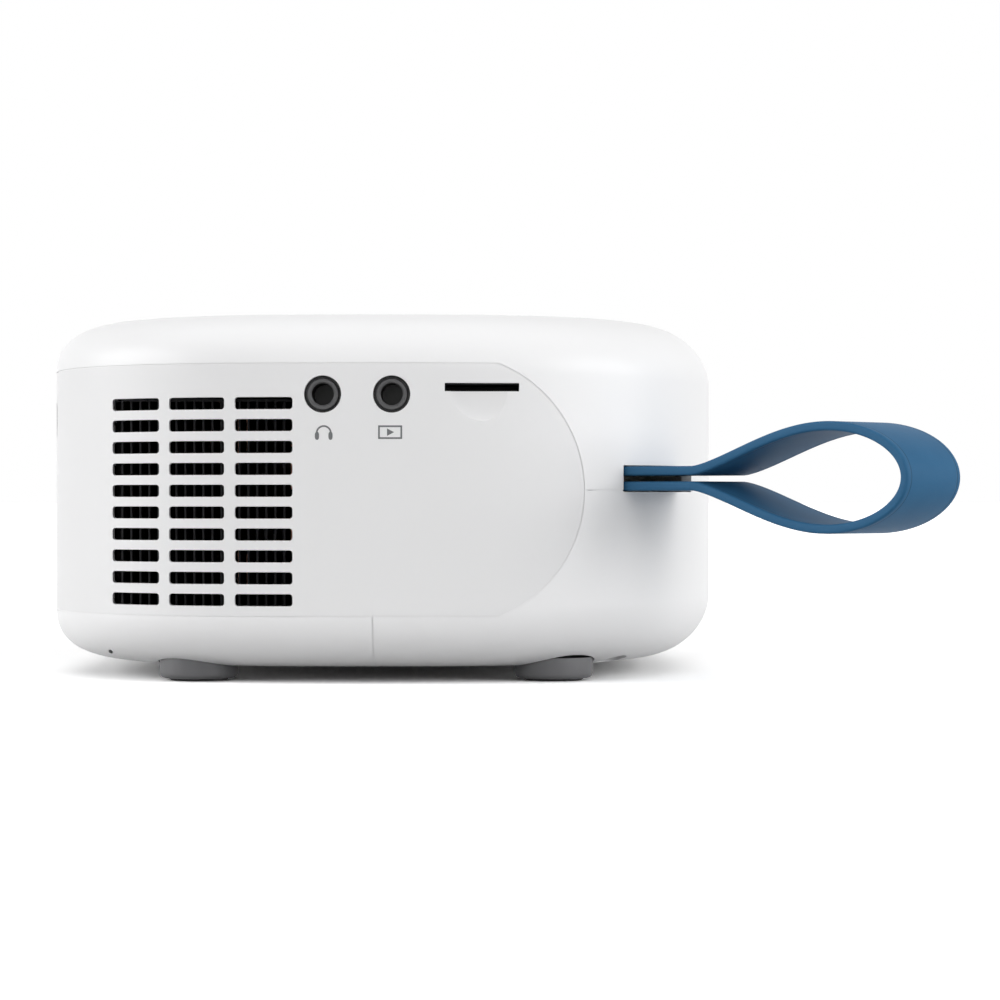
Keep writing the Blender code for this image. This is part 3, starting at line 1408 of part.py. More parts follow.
def engine_housing():
    """Open box of the light engine with its grooves, window, lens collar and mirror rest."""
    low = (ENGINE_FRONT, ENGINE_NEAR, ENGINE_BASE)
    made = box("engine_housing", low, (ENGINE_REAR, ENGINE_FAR, ENGINE_RIM), ENGINE_GREY)
    cavity = box(
        "engine_cavity",
        (ENGINE_X - ENGINE_INNER, ENGINE_NEAR + ENGINE_WALL, ENGINE_BASE + ENGINE_WALL),
        (ENGINE_X + ENGINE_INNER, ENGINE_FAR - ENGINE_WALL, ENGINE_RIM + OVERRUN),
    )
    slots = [
        sheet_cutter(f"sheet_slot_{i}", y)
        for i, y in enumerate((FRESNEL_IN_Y, PANEL_Y, FRESNEL_OUT_Y), 1)
    ]
    cut(made, cutter_group("engine_spaces", [cavity, *slots]))
    lens = (0, LENS_Y, ENGINE_HEIGHT)
    bore = BARREL_RADIUS + SEAT
    collar = rod(
        "engine_collar", "X", lens, bore + ENGINE_WALL, BEZEL_BACK + SEAT, ENGINE_FRONT + ENGINE_WALL / 2
    )
    half = MIRROR_LENGTH / 2 - ENGINE_WALL
    back = MIRROR_THICK + SEAT
    rest = box(
        "mirror_rest",
        (-half, back, ENGINE_BASE + ENGINE_WALL / 2),
        (half, back + ENGINE_WALL, ENGINE_RIM - ENGINE_WALL),
        place=(ENGINE_X, LENS_Y, 0),
        turn=(0, 0, math.radians(-45)),
    )
    cut(made, cutter_group("engine_adds", [collar, rest]), "UNION")
    light = (ENGINE_X, 0, ENGINE_HEIGHT)
    window = rod("led_window", "Y", light, LED_WINDOW, ENGINE_NEAR - OVERRUN, ENGINE_NEAR + OVERRUN)
    mouth = rod("lens_mouth", "X", lens, bore, FRONT_OUT, ENGINE_FRONT + OVERRUN)
    cut(made, cutter_group("engine_drills", [window, mouth]))

    lid = box(
        "engine_cover",
        (ENGINE_FRONT, ENGINE_NEAR, ENGINE_RIM + SEAT),
        (ENGINE_REAR, ENGINE_FAR, ENGINE_RIM + SEAT + ENGINE_LID),
        ENGINE_GREY,
    )
    chamfer = lid.modifiers.new("edges", "BEVEL")
    chamfer.width = ENGINE_LID / 4
    chamfer.segments = 1


def optics():
    """Condenser lens, two Fresnel sheets, the image panel and the folding mirror."""
    light = (ENGINE_X, 0, ENGINE_HEIGHT)
    low = CONDENSER_Y - CONDENSER_THICK / 2
    radius = min(ENGINE_INNER, ENGINE_TALL) - SEAT
    crown = CONDENSER_THICK - CONDENSER_RIM
    profile = lens_profile(radius, low, low + CONDENSER_RIM, 0, crown)
    turned("condenser_lens", "Y", light, profile, CLEAR_GLASS)
    half = ENGINE_INNER + GROOVE - SEAT
    floor = ENGINE_BASE + ENGINE_WALL + SEAT
    for name, y, material in (
        ("fresnel_in", FRESNEL_IN_Y, SHEET_PLASTIC),
        ("lcd_panel", PANEL_Y, DARK_WINDOW),
        ("fresnel_out", FRESNEL_OUT_Y, SHEET_PLASTIC),
    ):
        low = (ENGINE_X - half, y - SHEET_THICK / 2, floor)
        box(name, low, (ENGINE_X + half, y + SHEET_THICK / 2, ENGINE_RIM), material)
    half = MIRROR_LENGTH / 2
    box(
        "mirror",
        (-half, 0, floor),
        (half, MIRROR_THICK, ENGINE_RIM - SEAT),
        MIRROR_SILVER,
        place=(ENGINE_X, LENS_Y, 0),
        turn=(0, 0, math.radians(-45)),
    )


def light_source():
    """The LED with its board and the copper block that the heat pipes cool."""
    light = (ENGINE_X, 0, ENGINE_HEIGHT)
    base = LED_BOARD_FAR + SEAT
    dome = [
        (LED_RADIUS * share, base + LED_HEIGHT * (1 - LED_DOME_SHARE * share**2))
        for share in LENS_FACE_SHARES
    ]
    turned("led_emitter", "Y", light, [*dome, (LED_RADIUS, base), (0, base)], LED_YELLOW)
    for name, width, near, far, material in (
        ("led_board", LED_BOARD_SIDE, LED_BOARD_NEAR, LED_BOARD_FAR, BOARD_WHITE),
        ("led_block", LED_BLOCK_WIDTH, BLOCK_NEAR, BLOCK_FAR, COPPER),
    ):
        half = width / 2
        left, right = ENGINE_X - half, ENGINE_X + half
        low, high = ENGINE_HEIGHT - half, ENGINE_HEIGHT + half
        outline = rounded(left, low, right, high, LED_CORNER)
        holes = [
            circle((x, z), SCREW_RADIUS, LED_HOLE_STEPS)
            for x in (left + LED_HOLE_INSET, right - LED_HOLE_INSET)
            for z in (low + LED_HOLE_INSET, high - LED_HOLE_INSET)
        ]
        upright(name, [outline, *holes], near, far, material)


def heat_pipes():
    """Two flattened pipes that run under the fins and the fan and up the copper block."""
    top = ENGINE_HEIGHT + LED_BLOCK_WIDTH / 2
    inner = PIPE_BEND - PIPE_THICK
    corner = (PIPE_FAR - PIPE_BEND, PIPE_BASE + PIPE_BEND)
    outline = [(FIN_NEAR, PIPE_BASE)]
    outline += arc(corner, PIPE_BEND, -90, 0, 6)
    outline += [(PIPE_FAR, top), (PIPE_NEAR, top)]
    outline += arc(corner, inner, 0, -90, 6)
    outline.append((FIN_NEAR, PIPE_TOP))
    for name, side in (("heat_pipe_left", -1), ("heat_pipe_right", 1)):
        x = ENGINE_X + side * PIPE_SPREAD / 2
        made = sideways(name, [outline], x - PIPE_WIDTH / 2, x + PIPE_WIDTH / 2, COPPER)
        edges = made.modifiers.new("edges", "BEVEL")
        edges.width = PIPE_THICK / 4
        edges.segments = 1
        edges.limit_method = "ANGLE"
        edges.angle_limit = math.radians(60)


def fin_stack():
    """Zipper fins between two flanges, one body."""
    low, high = FAN_BASE, FAN_BASE + FAN_SIDE
    left, right = ENGINE_X - FIN_SPREAD / 2, ENGINE_X + FIN_SPREAD / 2
    gaps = []
    for i in range(FIN_COUNT - 1):
        start = left + FIN_THICK + i * FIN_PITCH
        gaps.append(rectangle(start, low + FIN_FLANGE, start + FIN_PITCH - FIN_THICK, high - FIN_FLANGE))
    upright("fin_stack", [rectangle(left, low, right, high), *gaps], FIN_NEAR, FIN_FAR, FIN_ALUMINIUM)


def fan_frame():
    low, high = FAN_BASE, FAN_BASE + FAN_SIDE
    left, right = ENGINE_X - FAN_SIDE / 2, ENGINE_X + FAN_SIDE / 2
    axis = (ENGINE_X, ENGINE_HEIGHT)
    holes = [
        circle((x, z), FAN_CORNER_HOLE, FAN_HOLE_STEPS)
        for x in (left + FAN_CORNER_INSET, right - FAN_CORNER_INSET)
        for z in (low + FAN_CORNER_INSET, high - FAN_CORNER_INSET)
    ]
    duct = circle(axis, FAN_DUCT_RADIUS, RING_STEPS)
    outline = rounded(left, low, right, high, FAN_CORNER_HOLE)
    made = upright("fan_frame", [outline, duct, *holes], FAN_NEAR, FAN_FAR, BLACK_PLASTIC)
    place = (ENGINE_X, 0, ENGINE_HEIGHT)
    boss_far = FAN_NEAR + FAN_BOSS_DEPTH
    adds = [rod("fan_boss", "Y", place, FAN_HUB_RADIUS, FAN_NEAR, boss_far)]
    reach = FAN_DUCT_RADIUS + FAN_STRUT / 4
    for i, angle in enumerate((35, -35), 1):
        adds.append(
            box(
                f"fan_strut_{i}",
                (-reach, FAN_NEAR, -FAN_STRUT / 2),
                (reach, boss_far, FAN_STRUT / 2),
                place=place,
                turn=(0, math.radians(angle), 0),
            )
        )
    cut(made, cutter_group("fan_adds", adds), "UNION")
    bore = FAN_SHAFT + SEAT
    cut(made, rod("fan_bore", "Y", place, bore, FAN_NEAR - OVERRUN, FAN_FAR, steps=SMALL_STEPS))


def fan_rotor():
    """Hub, shaft and twisted blades, turning on the fan's axis."""
    place = (ENGINE_X, 0, ENGINE_HEIGHT)
    near = FAN_NEAR + FAN_BOSS_DEPTH + SEAT
    far = near + FAN_HUB_DEPTH
    profile = [
        (0, far),
        (FAN_HUB_RADIUS - FAN_BLADE_THICK, far),
        (FAN_HUB_RADIUS, far - FAN_BLADE_THICK),
        (FAN_HUB_RADIUS, near),
        (FAN_SHAFT, near),
        (FAN_SHAFT, near - FAN_SHAFT_LENGTH),
        (0, near - FAN_SHAFT_LENGTH),
    ]
    made = turned("fan_rotor", "Y", place, profile, BLACK_PLASTIC)
    root = FAN_HUB_RADIUS - FAN_BLADE_THICK
    chord = (FAN_HUB_DEPTH - FAN_BLADE_THICK * 2) / math.cos(FAN_BLADE_PITCH)
    blades = []
    for i in range(FAN_BLADES):
        work = bmesh.new()
        bmesh.ops.create_cube(work, size=1)
        for vert in work.verts:
            tip = vert.co.x > 0
            pitch = FAN_BLADE_PITCH + (FAN_BLADE_TWIST if tip else 0)
            reach = FAN_BLADE_RADIUS if tip else root
            width = vert.co.y * chord * math.cos(FAN_BLADE_PITCH) / math.cos(pitch)
            thick = vert.co.z * FAN_BLADE_THICK
            along = width * math.cos(pitch) - thick * math.sin(pitch)
            round_it = width * math.sin(pitch) + thick * math.cos(pitch)
            angle = math.tau * i / FAN_BLADES + round_it / reach
            middle = (near + far) / 2
            vert.co = (reach * math.cos(angle), reach * math.sin(angle), middle + along)
        blade = link(f"fan_blade_{i + 1}", mesh_of("fan_blade", work), None, BASE, cutter=True)
        blade.location = place
        blade.rotation_euler = TURNS["Y"]
        blades.append(blade)
    cut(made, cutter_group("fan_blades", blades), "UNION")


def chassis_tray():
    """The tray on the lower front cover's posts that carries the engine and the cooling set."""
    steps = PLAN_STEPS // 2
    outline = [plan_point(math.tau * step / steps, TRAY_INSET) for step in range(steps)]
    made = plate("chassis_tray", [outline], TRAY_HEIGHT, TRAY_TOP, PLAIN_STEEL)
    cut(made, box("tray_rear", (TRAY_REAR, -FAR_OUT, BELOW), (REAR_OUT, FAR_OUT, ABOVE)))
    ribs = []
    under = (TRAY_HEIGHT + TRAY_TOP) / 2
    start = (FIN_NEAR + FIN_FAR) / 2
    reach = PIPE_SPREAD / 2 + PIPE_WIDTH / 2
    for name, side in (("front", -1), ("rear", 1)):
        x = ENGINE_X + side * (reach + TRAY_RIB_GAP)
        low, high = sorted((x, x + side * TRAY_RIB))
        ribs.append(box(f"tray_rib_{name}", (low, start, under), (high, FAN_FAR, FAN_BASE - SEAT)))
    for i, y in enumerate(((FIN_NEAR + FIN_FAR) / 2, (FAN_NEAR + FAN_FAR) / 2), 1):
        low = (ENGINE_X - reach, y, under)
        ribs.append(box(f"tray_bridge_{i}", low, (ENGINE_X + reach, y + TRAY_RIB, PIPE_BASE - SEAT)))
    for i, y in enumerate((ENGINE_NEAR, ENGINE_FAR - TRAY_RIB), 1):
        low = (ENGINE_FRONT, y, under)
        ribs.append(box(f"tray_rest_{i}", low, (ENGINE_REAR, y + TRAY_RIB, ENGINE_BASE - SEAT)))
    half = LED_BOARD_SIDE / 2
    low = (ENGINE_X - half, BLOCK_NEAR, under)
    high = (ENGINE_X + half, BLOCK_FAR, ENGINE_HEIGHT - LED_BLOCK_WIDTH / 2 - SEAT)
    ribs.append(box("tray_block_rest", low, high))
    cut(made, cutter_group("tray_ribs", ribs), "UNION")
    holes = []
    for i, (x, y, base) in enumerate(SCREW_PLACES[:2], 1):
        holes.append(rod(f"tray_hole_{i}", "Z", (x, y, 0), WELL_RADIUS + SEAT, BELOW, ABOVE))
    cut(made, cutter_group("tray_holes", holes))


def speaker():
    base = SPEAKER_BASE
    frame = base + SPEAKER_FRAME_THICK
    top = base + SPEAKER_DEPTH
    shoulder = (frame + top) / 2
    cone = base + SPEAKER_CONE_DEPTH
    profile = [
        (0, top),
        (SPEAKER_MAGNET_RADIUS, top),
        (SPEAKER_MAGNET_RADIUS, shoulder),
        (SPEAKER_CONE_RADIUS, frame),
        (SPEAKER_RADIUS, frame),
        (SPEAKER_RADIUS, base),
        (SPEAKER_CONE_RADIUS, base),
        (SPEAKER_MAGNET_RADIUS / 2, cone),
        (0, base + SPEAKER_CONE_DEPTH / 2),
    ]
    turned("speaker", "Z", (SPEAKER_X, SPEAKER_Y, 0), profile, BLACK_PLASTIC)


def tripod_insert():
    """A threaded insert in the underside, flush with it."""
    low = FOOT_LIFT + SEAT
    high = low + INSERT_LENGTH
    profile = [
        (0, high),
        (INSERT_RADIUS, high),
        (INSERT_RADIUS, low),
        (INSERT_BORE, low),
        (INSERT_BORE, high - INSERT_RADIUS + INSERT_BORE),
        (0, high - INSERT_RADIUS + INSERT_BORE),
    ]
    turned("tripod_insert", "Z", (INSERT_X, 0, 0), profile, BRASS)


def intake_filter():
    """A thin curved frame with open windows, behind the far vents where the air comes in."""
    outer = WALL + SEAT
    half = BAND_HALF_HEIGHT - HOOK_ROOT - SEAT
    profile = [
        (outer, -half),
        (outer, half),
        (outer + FILTER_THICK, half),
        (outer + FILTER_THICK, -half),
    ]
    made = ring_body("intake_filter", profile, ENGINE_GREY)
    right = VENT_EDGE + FILTER_MARGIN
    left = VENT_EDGE - VENT_RUN - FILTER_MARGIN
    cut(made, box("filter_space", (left, 0, BELOW), (right, FAR_OUT, ABOVE)), "INTERSECT")
    windows = []
    wide = (right - left - FILTER_BAR) / FILTER_COLUMNS
    tall = (2 * half - FILTER_BAR) / FILTER_ROWS
    for column in range(FILTER_COLUMNS):
        for row in range(FILTER_ROWS):
            x = left + FILTER_BAR + column * wide
            z = SPLIT_HEIGHT - half + FILTER_BAR + row * tall
            high = (x + wide - FILTER_BAR, FAR_OUT, z + tall - FILTER_BAR)
            windows.append(box(f"filter_window_{column}_{row}", (x, 0, z), high))
    cut(made, cutter_group("filter_windows", windows))


top_cover()
bottom_shell()
bottom_front_cover()
wrap_band()
ir_window()
feet()
strap()
jack("headphone_jack", JACK_X)
jack("av_jack", JACK_X + JACK_PITCH)
card_socket()
port("hdmi_socket", HDMI_X, HDMI_WIDTH, HDMI_HEIGHT, HDMI_DEPTH)
port("usb_socket", USB_X, USB_WIDTH, USB_HEIGHT, USB_DEPTH)
main_board()
screws()
inlet()
power_button()
lens_group()
engine_housing()
optics()
light_source()
heat_pipes()
fin_stack()
fan_frame()
fan_rotor()
chassis_tray()
speaker()
tripod_insert()
intake_filter()
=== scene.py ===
"""The portable projector's looks: a white pillow-shaped housing in a band, with a blue strap."""

import math

import bmesh
import bpy
from mathutils import Matrix, Vector


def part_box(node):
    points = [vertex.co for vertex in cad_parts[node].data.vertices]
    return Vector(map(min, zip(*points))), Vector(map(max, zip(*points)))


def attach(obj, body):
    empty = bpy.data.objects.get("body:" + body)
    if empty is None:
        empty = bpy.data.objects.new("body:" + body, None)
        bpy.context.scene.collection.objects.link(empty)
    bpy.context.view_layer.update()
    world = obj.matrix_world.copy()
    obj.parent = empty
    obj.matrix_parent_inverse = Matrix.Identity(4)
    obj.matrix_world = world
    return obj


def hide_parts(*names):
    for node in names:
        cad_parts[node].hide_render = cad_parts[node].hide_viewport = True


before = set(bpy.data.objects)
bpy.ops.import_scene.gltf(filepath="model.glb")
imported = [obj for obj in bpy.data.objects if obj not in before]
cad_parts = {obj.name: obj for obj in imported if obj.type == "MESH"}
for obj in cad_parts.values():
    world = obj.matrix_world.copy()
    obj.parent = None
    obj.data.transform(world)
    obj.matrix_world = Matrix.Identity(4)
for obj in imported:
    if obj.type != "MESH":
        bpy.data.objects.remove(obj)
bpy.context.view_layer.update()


# Studio
# A pale floor in a white surround. Wide suns from above, the front and both ends stand for
# soft boxes, and shine alike on the near and the far floor.
CAMERA_PLACE = (0.00407, -0.60005, 0.0301)
CAMERA_LENS = 120.6
FLOOR_SIZE = 60.0
FLOOR_WHITE = 1.50
FLOOR_BOUNCE = 0.52
SKY_LEVEL = 0.12
SUNS = (
    ("sun_above", (0.0, -0.10, 1.0), 0.92, 80),
    ("sun_front", (0.05, -1.0, 0.15), 0.70, 70),
    ("sun_strap_end", (1.0, -0.45, 0.12), 3.25, 60),
    ("sun_lens_end", (-1.0, -0.15, 0.12), 3.20, 60),
)


def mesh_of(name, work):
    """Ends a bmesh as a named mesh."""
    mesh = bpy.data.meshes.new(name)
    work.to_mesh(mesh)
    work.free()
    return mesh


def seen_or_lit(nodes, links, seen, lit, output):
    """Mixes two shaders: one for what the camera and mirrors see, one for light on the object."""
    path = nodes.new("ShaderNodeLightPath")
    both = nodes.new("ShaderNodeMath")
    both.operation = "MAXIMUM"
    links.new(path.outputs["Is Camera Ray"], both.inputs[0])
    links.new(path.outputs["Is Glossy Ray"], both.inputs[1])
    every = nodes.new("ShaderNodeMath")
    every.operation = "MAXIMUM"
    links.new(both.outputs[0], every.inputs[0])
    links.new(path.outputs["Is Transmission Ray"], every.inputs[1])
    mix = nodes.new("ShaderNodeMixShader")
    links.new(every.outputs[0], mix.inputs[0])
    links.new(lit.outputs[0], mix.inputs[1])
    links.new(seen.outputs[0], mix.inputs[2])
    links.new(mix.outputs[0], output.inputs["Surface"])


world = bpy.data.worlds.new("surround")
bpy.context.scene.world = world
world.use_nodes = True
tree = world.node_tree
tree.nodes.clear()
seen = tree.nodes.new("ShaderNodeBackground")
seen.inputs["Color"].default_value = (1, 1, 1, 1)
seen.inputs["Strength"].default_value = 1.0
lit = tree.nodes.new("ShaderNodeBackground")
lit.inputs["Color"].default_value = (1, 1, 1, 1)
lit.inputs["Strength"].default_value = SKY_LEVEL
seen_or_lit(tree.nodes, tree.links, seen, lit, tree.nodes.new("ShaderNodeOutputWorld"))

for name, direction, strength, spread in SUNS:
    sun = bpy.data.lights.new(name, "SUN")
    sun.energy = strength
    sun.angle = math.radians(spread)
    lamp = bpy.data.objects.new(name, sun)
    lamp.rotation_euler = Vector(direction).to_track_quat("Z", "Y").to_euler()
    bpy.context.scene.collection.objects.link(lamp)

floor_finish = bpy.data.materials.new("floor_finish")
floor_finish.use_nodes = True
tree = floor_finish.node_tree
tree.nodes.clear()
seen = tree.nodes.new("ShaderNodeBsdfDiffuse")
seen.inputs["Color"].default_value = (FLOOR_WHITE, FLOOR_WHITE, FLOOR_WHITE, 1)
lit = tree.nodes.new("ShaderNodeBsdfDiffuse")
lit.inputs["Color"].default_value = (FLOOR_BOUNCE, FLOOR_BOUNCE, FLOOR_BOUNCE, 1)
seen_or_lit(tree.nodes, tree.links, seen, lit, tree.nodes.new("ShaderNodeOutputMaterial"))
work = bmesh.new()
bmesh.ops.create_grid(work, x_segments=1, y_segments=1, size=FLOOR_SIZE / 2)
sheet = mesh_of("floor", work)
sheet.materials.append(floor_finish)
floor = bpy.data.objects.new("floor", sheet)
bpy.context.scene.collection.objects.link(floor)

lens = bpy.data.cameras.new("camera")
lens.lens = CAMERA_LENS
lens.clip_start = 0.01
lens.clip_end = 100.0
camera = bpy.data.objects.new("camera", lens)
camera.location = CAMERA_PLACE
camera.rotation_euler = (math.radians(90), 0, 0)
bpy.context.scene.collection.objects.link(camera)
bpy.context.scene.camera = camera
bpy.context.scene.view_settings.view_transform = "Standard"


# Housing form
# One pillow shape moulds the covers and the band: a rounded rectangle in plan whose upright wall
# turns over a soft edge to an almost flat top. The rule is worked out in a node tree.
cover_low, cover_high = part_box("top_cover")
band_low, band_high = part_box("wrap_band")
BODY = Vector(((cover_low.x + cover_high.x) / 2, (cover_low.y + cover_high.y) / 2, 0))
HALF_DEPTH = (cover_high.x - cover_low.x) / 2
HALF_WIDTH = (cover_high.y - cover_low.y) / 2
SPLIT = (band_low.z + band_high.z) / 2
HALF_HEIGHT = cover_high.z - SPLIT
PLAN_POWER = 2.87
EDGE_RUN = 0.0140
EDGE_START_FRONT = 0.0206
EDGE_START_REAR = 0.0184
RUN_POWERS = (2.62, 2.27)
RISE_POWERS = (2.40, 1.90)
CROWN = 0.0006
WALL = 0.0020
SEAM = 0.0002
PLAN_STEPS = 300
WALL_ROWS = 6
EDGE_ROWS = 30
CROWN_ROWS = 8
ROW_EASE = 2.2
MERGE = 0.000002


def maths(tree, operation, *values):
    """A Math node fed by numbers or by other sockets."""
    node = tree.nodes.new("ShaderNodeMath")
    node.operation = operation
    for socket, value in zip(node.inputs, values):
        if isinstance(value, bpy.types.NodeSocket):
            tree.links.new(value, socket)
        else:
            socket.default_value = value
    return node.outputs[0]


def node_of(tree, kind, **values):
    """A node with its sockets set by name, with spaces as underscores."""
    node = tree.nodes.new(kind)
    for name, value in values.items():
        socket = node.inputs[name.replace("_", " ")]
        if isinstance(value, bpy.types.NodeSocket):
            tree.links.new(value, socket)
        else:
            socket.default_value = value
    return node


def new_tree(name, **sizes):
    """A geometry tree with named number inputs; returns it with its input sockets."""
    tree = bpy.data.node_groups.new(name, "GeometryNodeTree")
    tree.interface.new_socket("Geometry", in_out="OUTPUT", socket_type="NodeSocketGeometry")
    for size, value in sizes.items():
        kind = "NodeSocketInt" if isinstance(value, int) else "NodeSocketFloat"
        socket = tree.interface.new_socket(size, in_out="INPUT", socket_type=kind)
        socket.default_value = value
    group = tree.nodes.new("NodeGroupInput")
    return tree, {size: group.outputs[size] for size in sizes}


def end_tree(tree, geometry, material):
    """Ends a tree in Realize Instances and Set Material."""
    real = node_of(tree, "GeometryNodeRealizeInstances", Geometry=geometry)
    painted = node_of(tree, "GeometryNodeSetMaterial", Geometry=real.outputs[0], Material=material)
    tree.links.new(painted.outputs[0], tree.nodes.new("NodeGroupOutput").inputs[0])


def grown(tree, name, **sizes):
    """The mesh that a tree makes, with some of its named inputs changed."""
    seed = bpy.data.objects.new(name, bpy.data.meshes.new(name))
    bpy.context.scene.collection.objects.link(seed)
    modifier = seed.modifiers.new("shape", "NODES")
    modifier.node_group = tree
    for item in tree.interface.items_tree:
        if item.name in sizes:
            modifier[item.identifier] = sizes[item.name]
    graph = bpy.context.evaluated_depsgraph_get()
    mesh = bpy.data.meshes.new_from_object(seed.evaluated_get(graph))
    bpy.data.objects.remove(seed)
    mesh.name = name
    return mesh


def pillow_tree():
    """Half of the pillow shape, from a height over the split to the middle of its crown."""
    tree, size = new_tree("pillow_form", side=1.0, start=SEAM / 2, inset=0.0)
    rows = 1 + WALL_ROWS + EDGE_ROWS + CROWN_ROWS
    grid = node_of(tree, "GeometryNodeMeshGrid", Vertices_X=PLAN_STEPS + 1, Vertices_Y=rows)
    index = tree.nodes.new("GeometryNodeInputIndex").outputs[0]
    column = maths(tree, "FLOOR", maths(tree, "DIVIDE", maths(tree, "ADD", index, 0.5), rows))
    row = maths(tree, "SUBTRACT", index, maths(tree, "MULTIPLY", column, rows))

    def step_of(before, count):
        part = maths(tree, "DIVIDE", maths(tree, "SUBTRACT", row, before), count)
        part.node.use_clamp = True
        return part

    up_wall = step_of(0, WALL_ROWS)
    share = maths(tree, "POWER", step_of(WALL_ROWS, EDGE_ROWS), ROW_EASE)
    to_rim = maths(tree, "SUBTRACT", 1.0, step_of(WALL_ROWS + EDGE_ROWS, CROWN_ROWS))
    angle = maths(tree, "MULTIPLY", column, math.tau / PLAN_STEPS)
    run = maths(tree, "SUBTRACT", EDGE_RUN, size["inset"])
    moved = maths(tree, "ADD", size["inset"], maths(tree, "MULTIPLY", share, run))
    plan = []
    for operation, half in (("COSINE", HALF_DEPTH), ("SINE", HALF_WIDTH)):
        turn = maths(tree, operation, angle)
        bent = maths(tree, "POWER", maths(tree, "ABSOLUTE", turn), 2 / PLAN_POWER)
        signed = maths(tree, "MULTIPLY", bent, maths(tree, "SIGN", turn))
        plan.append(maths(tree, "MULTIPLY", signed, maths(tree, "SUBTRACT", half, moved)))
    x, y = plan
    rear = maths(tree, "MULTIPLY_ADD", x, 0.5 / HALF_DEPTH, 0.5)

    def from_front(pair):
        return maths(tree, "MULTIPLY_ADD", rear, pair[1] - pair[0], pair[0])

    begin = from_front((EDGE_START_FRONT, EDGE_START_REAR))
    left_over = maths(tree, "POWER", maths(tree, "SUBTRACT", 1.0, share), from_front(RUN_POWERS))
    power = maths(tree, "DIVIDE", 1.0, from_front(RISE_POWERS))
    rise = maths(tree, "POWER", maths(tree, "SUBTRACT", 1.0, left_over), power)
    top = maths(tree, "SUBTRACT", HALF_HEIGHT - CROWN, size["inset"])
    edge = maths(tree, "MULTIPLY_ADD", maths(tree, "SUBTRACT", top, begin), rise, begin)
    climb = maths(tree, "SUBTRACT", edge, size["start"])
    height = maths(tree, "MULTIPLY_ADD", climb, up_wall, size["start"])
    bulge = maths(tree, "SUBTRACT", 1.0, maths(tree, "MULTIPLY", to_rim, to_rim))
    height = maths(tree, "MULTIPLY_ADD", bulge, CROWN, height)
    place = node_of(
        tree,
        "ShaderNodeCombineXYZ",
        X=maths(tree, "MULTIPLY_ADD", x, to_rim, BODY.x),
        Y=maths(tree, "MULTIPLY_ADD", y, to_rim, BODY.y),
        Z=maths(tree, "MULTIPLY_ADD", height, size["side"], SPLIT),
    )
    placed = node_of(
        tree, "GeometryNodeSetPosition", Geometry=grid.outputs["Mesh"], Position=place.outputs[0]
    )
    closed = node_of(
        tree, "GeometryNodeMergeByDistance", Geometry=placed.outputs[0], Distance=MERGE
    )
    end_tree(tree, closed.outputs[0], shell_finish)
    return tree


def new_finish(name):
    """A material with its tree, its shader and the place on the object that its detail follows."""
    made = bpy.data.materials.new(name)
    made.use_nodes = True
    tree = made.node_tree
    where = tree.nodes.new("ShaderNodeTexCoord").outputs["Object"]
    return made, tree, tree.nodes["Principled BSDF"], where


def tinted(tree, share, one, two):
    """A colour between two others; each is a triple of numbers or a socket."""
    mix = tree.nodes.new("ShaderNodeMix")
    mix.data_type = "RGBA"
    tree.links.new(share, mix.inputs["Factor"])
    for socket, colour in (("A", one), ("B", two)):
        if isinstance(colour, bpy.types.NodeSocket):
            tree.links.new(colour, mix.inputs[socket])
        else:
            mix.inputs[socket].default_value = (*colour, 1)
    return mix.outputs["Result"]


def gloss(tree, shader, detail, low, high):
    """Lets a roughness drift between two values with some detail."""
    drift = node_of(tree, "ShaderNodeMapRange", Value=detail, To_Min=low, To_Max=high)
    tree.links.new(drift.outputs[0], shader.inputs["Roughness"])


def speckled(name, colour, roughness, grain=0.00022, depth=0.000004, shade=0.03, coat=0.0):
    """Moulded plastic: a fine spark-eroded grain, faint cloudiness and a roughness that drifts."""
    made, tree, shader, where = new_finish(name)
    fine = node_of(tree, "ShaderNodeTexNoise", Vector=where, Scale=1 / grain, Detail=3.0)
    cloud = node_of(tree, "ShaderNodeTexNoise", Vector=where, Scale=45.0, Detail=4.0)
    dark = [channel * (1 - shade) for channel in colour]
    tree.links.new(tinted(tree, cloud.outputs[0], dark, colour), shader.inputs["Base Color"])
    gloss(tree, shader, cloud.outputs[0], roughness - 0.05, roughness + 0.05)
    bump = node_of(tree, "ShaderNodeBump", Height=fine.outputs[0], Strength=0.6, Distance=depth)
    tree.links.new(bump.outputs[0], shader.inputs["Normal"])
    shader.inputs["Coat Weight"].default_value = coat
    return made


def object_of(name, mesh):
    made = bpy.data.objects.new(name, mesh)
    bpy.context.scene.collection.objects.link(made)
    return made


def boolean(target, tool, operation="DIFFERENCE"):
    """Cuts or joins a piece with another at once, and removes the tool."""
    modifier = target.modifiers.new("cut", "BOOLEAN")
    modifier.operation = operation
    modifier.solver = "EXACT"
    modifier.object = tool
    graph = bpy.context.evaluated_depsgraph_get()
    mesh = bpy.data.meshes.new_from_object(target.evaluated_get(graph))
    target.modifiers.clear()
    target.data = mesh
    bpy.data.objects.remove(tool)


def smooth(mesh, sharp=35):
    mesh.shade_smooth()
    mesh.set_sharp_from_angle(angle=math.radians(sharp))


def settle(piece, body, slot, *nodes):
    """A finished piece rides on its body and hides the nodes that it stands for; its slot is not used.
    """
    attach(piece, body)
    if nodes:
        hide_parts(*nodes)
    return piece


shell_finish = speckled("shell_white_finish", (0.86, 0.86, 0.865), 0.40)
band_finish = speckled("band_white_finish", (0.80, 0.80, 0.805), 0.50)
PILLOW = pillow_tree()


def shell_half(name, side):
    """One half of the housing as a wall of even thickness."""
    made = object_of(name, grown(PILLOW, name, side=float(side)))
    if side < 0:
        made.data.flip_normals()
    wall = made.modifiers.new("wall", "SOLIDIFY")
    wall.thickness = WALL
    wall.offset = -1
    wall.use_even_offset = True
    return made


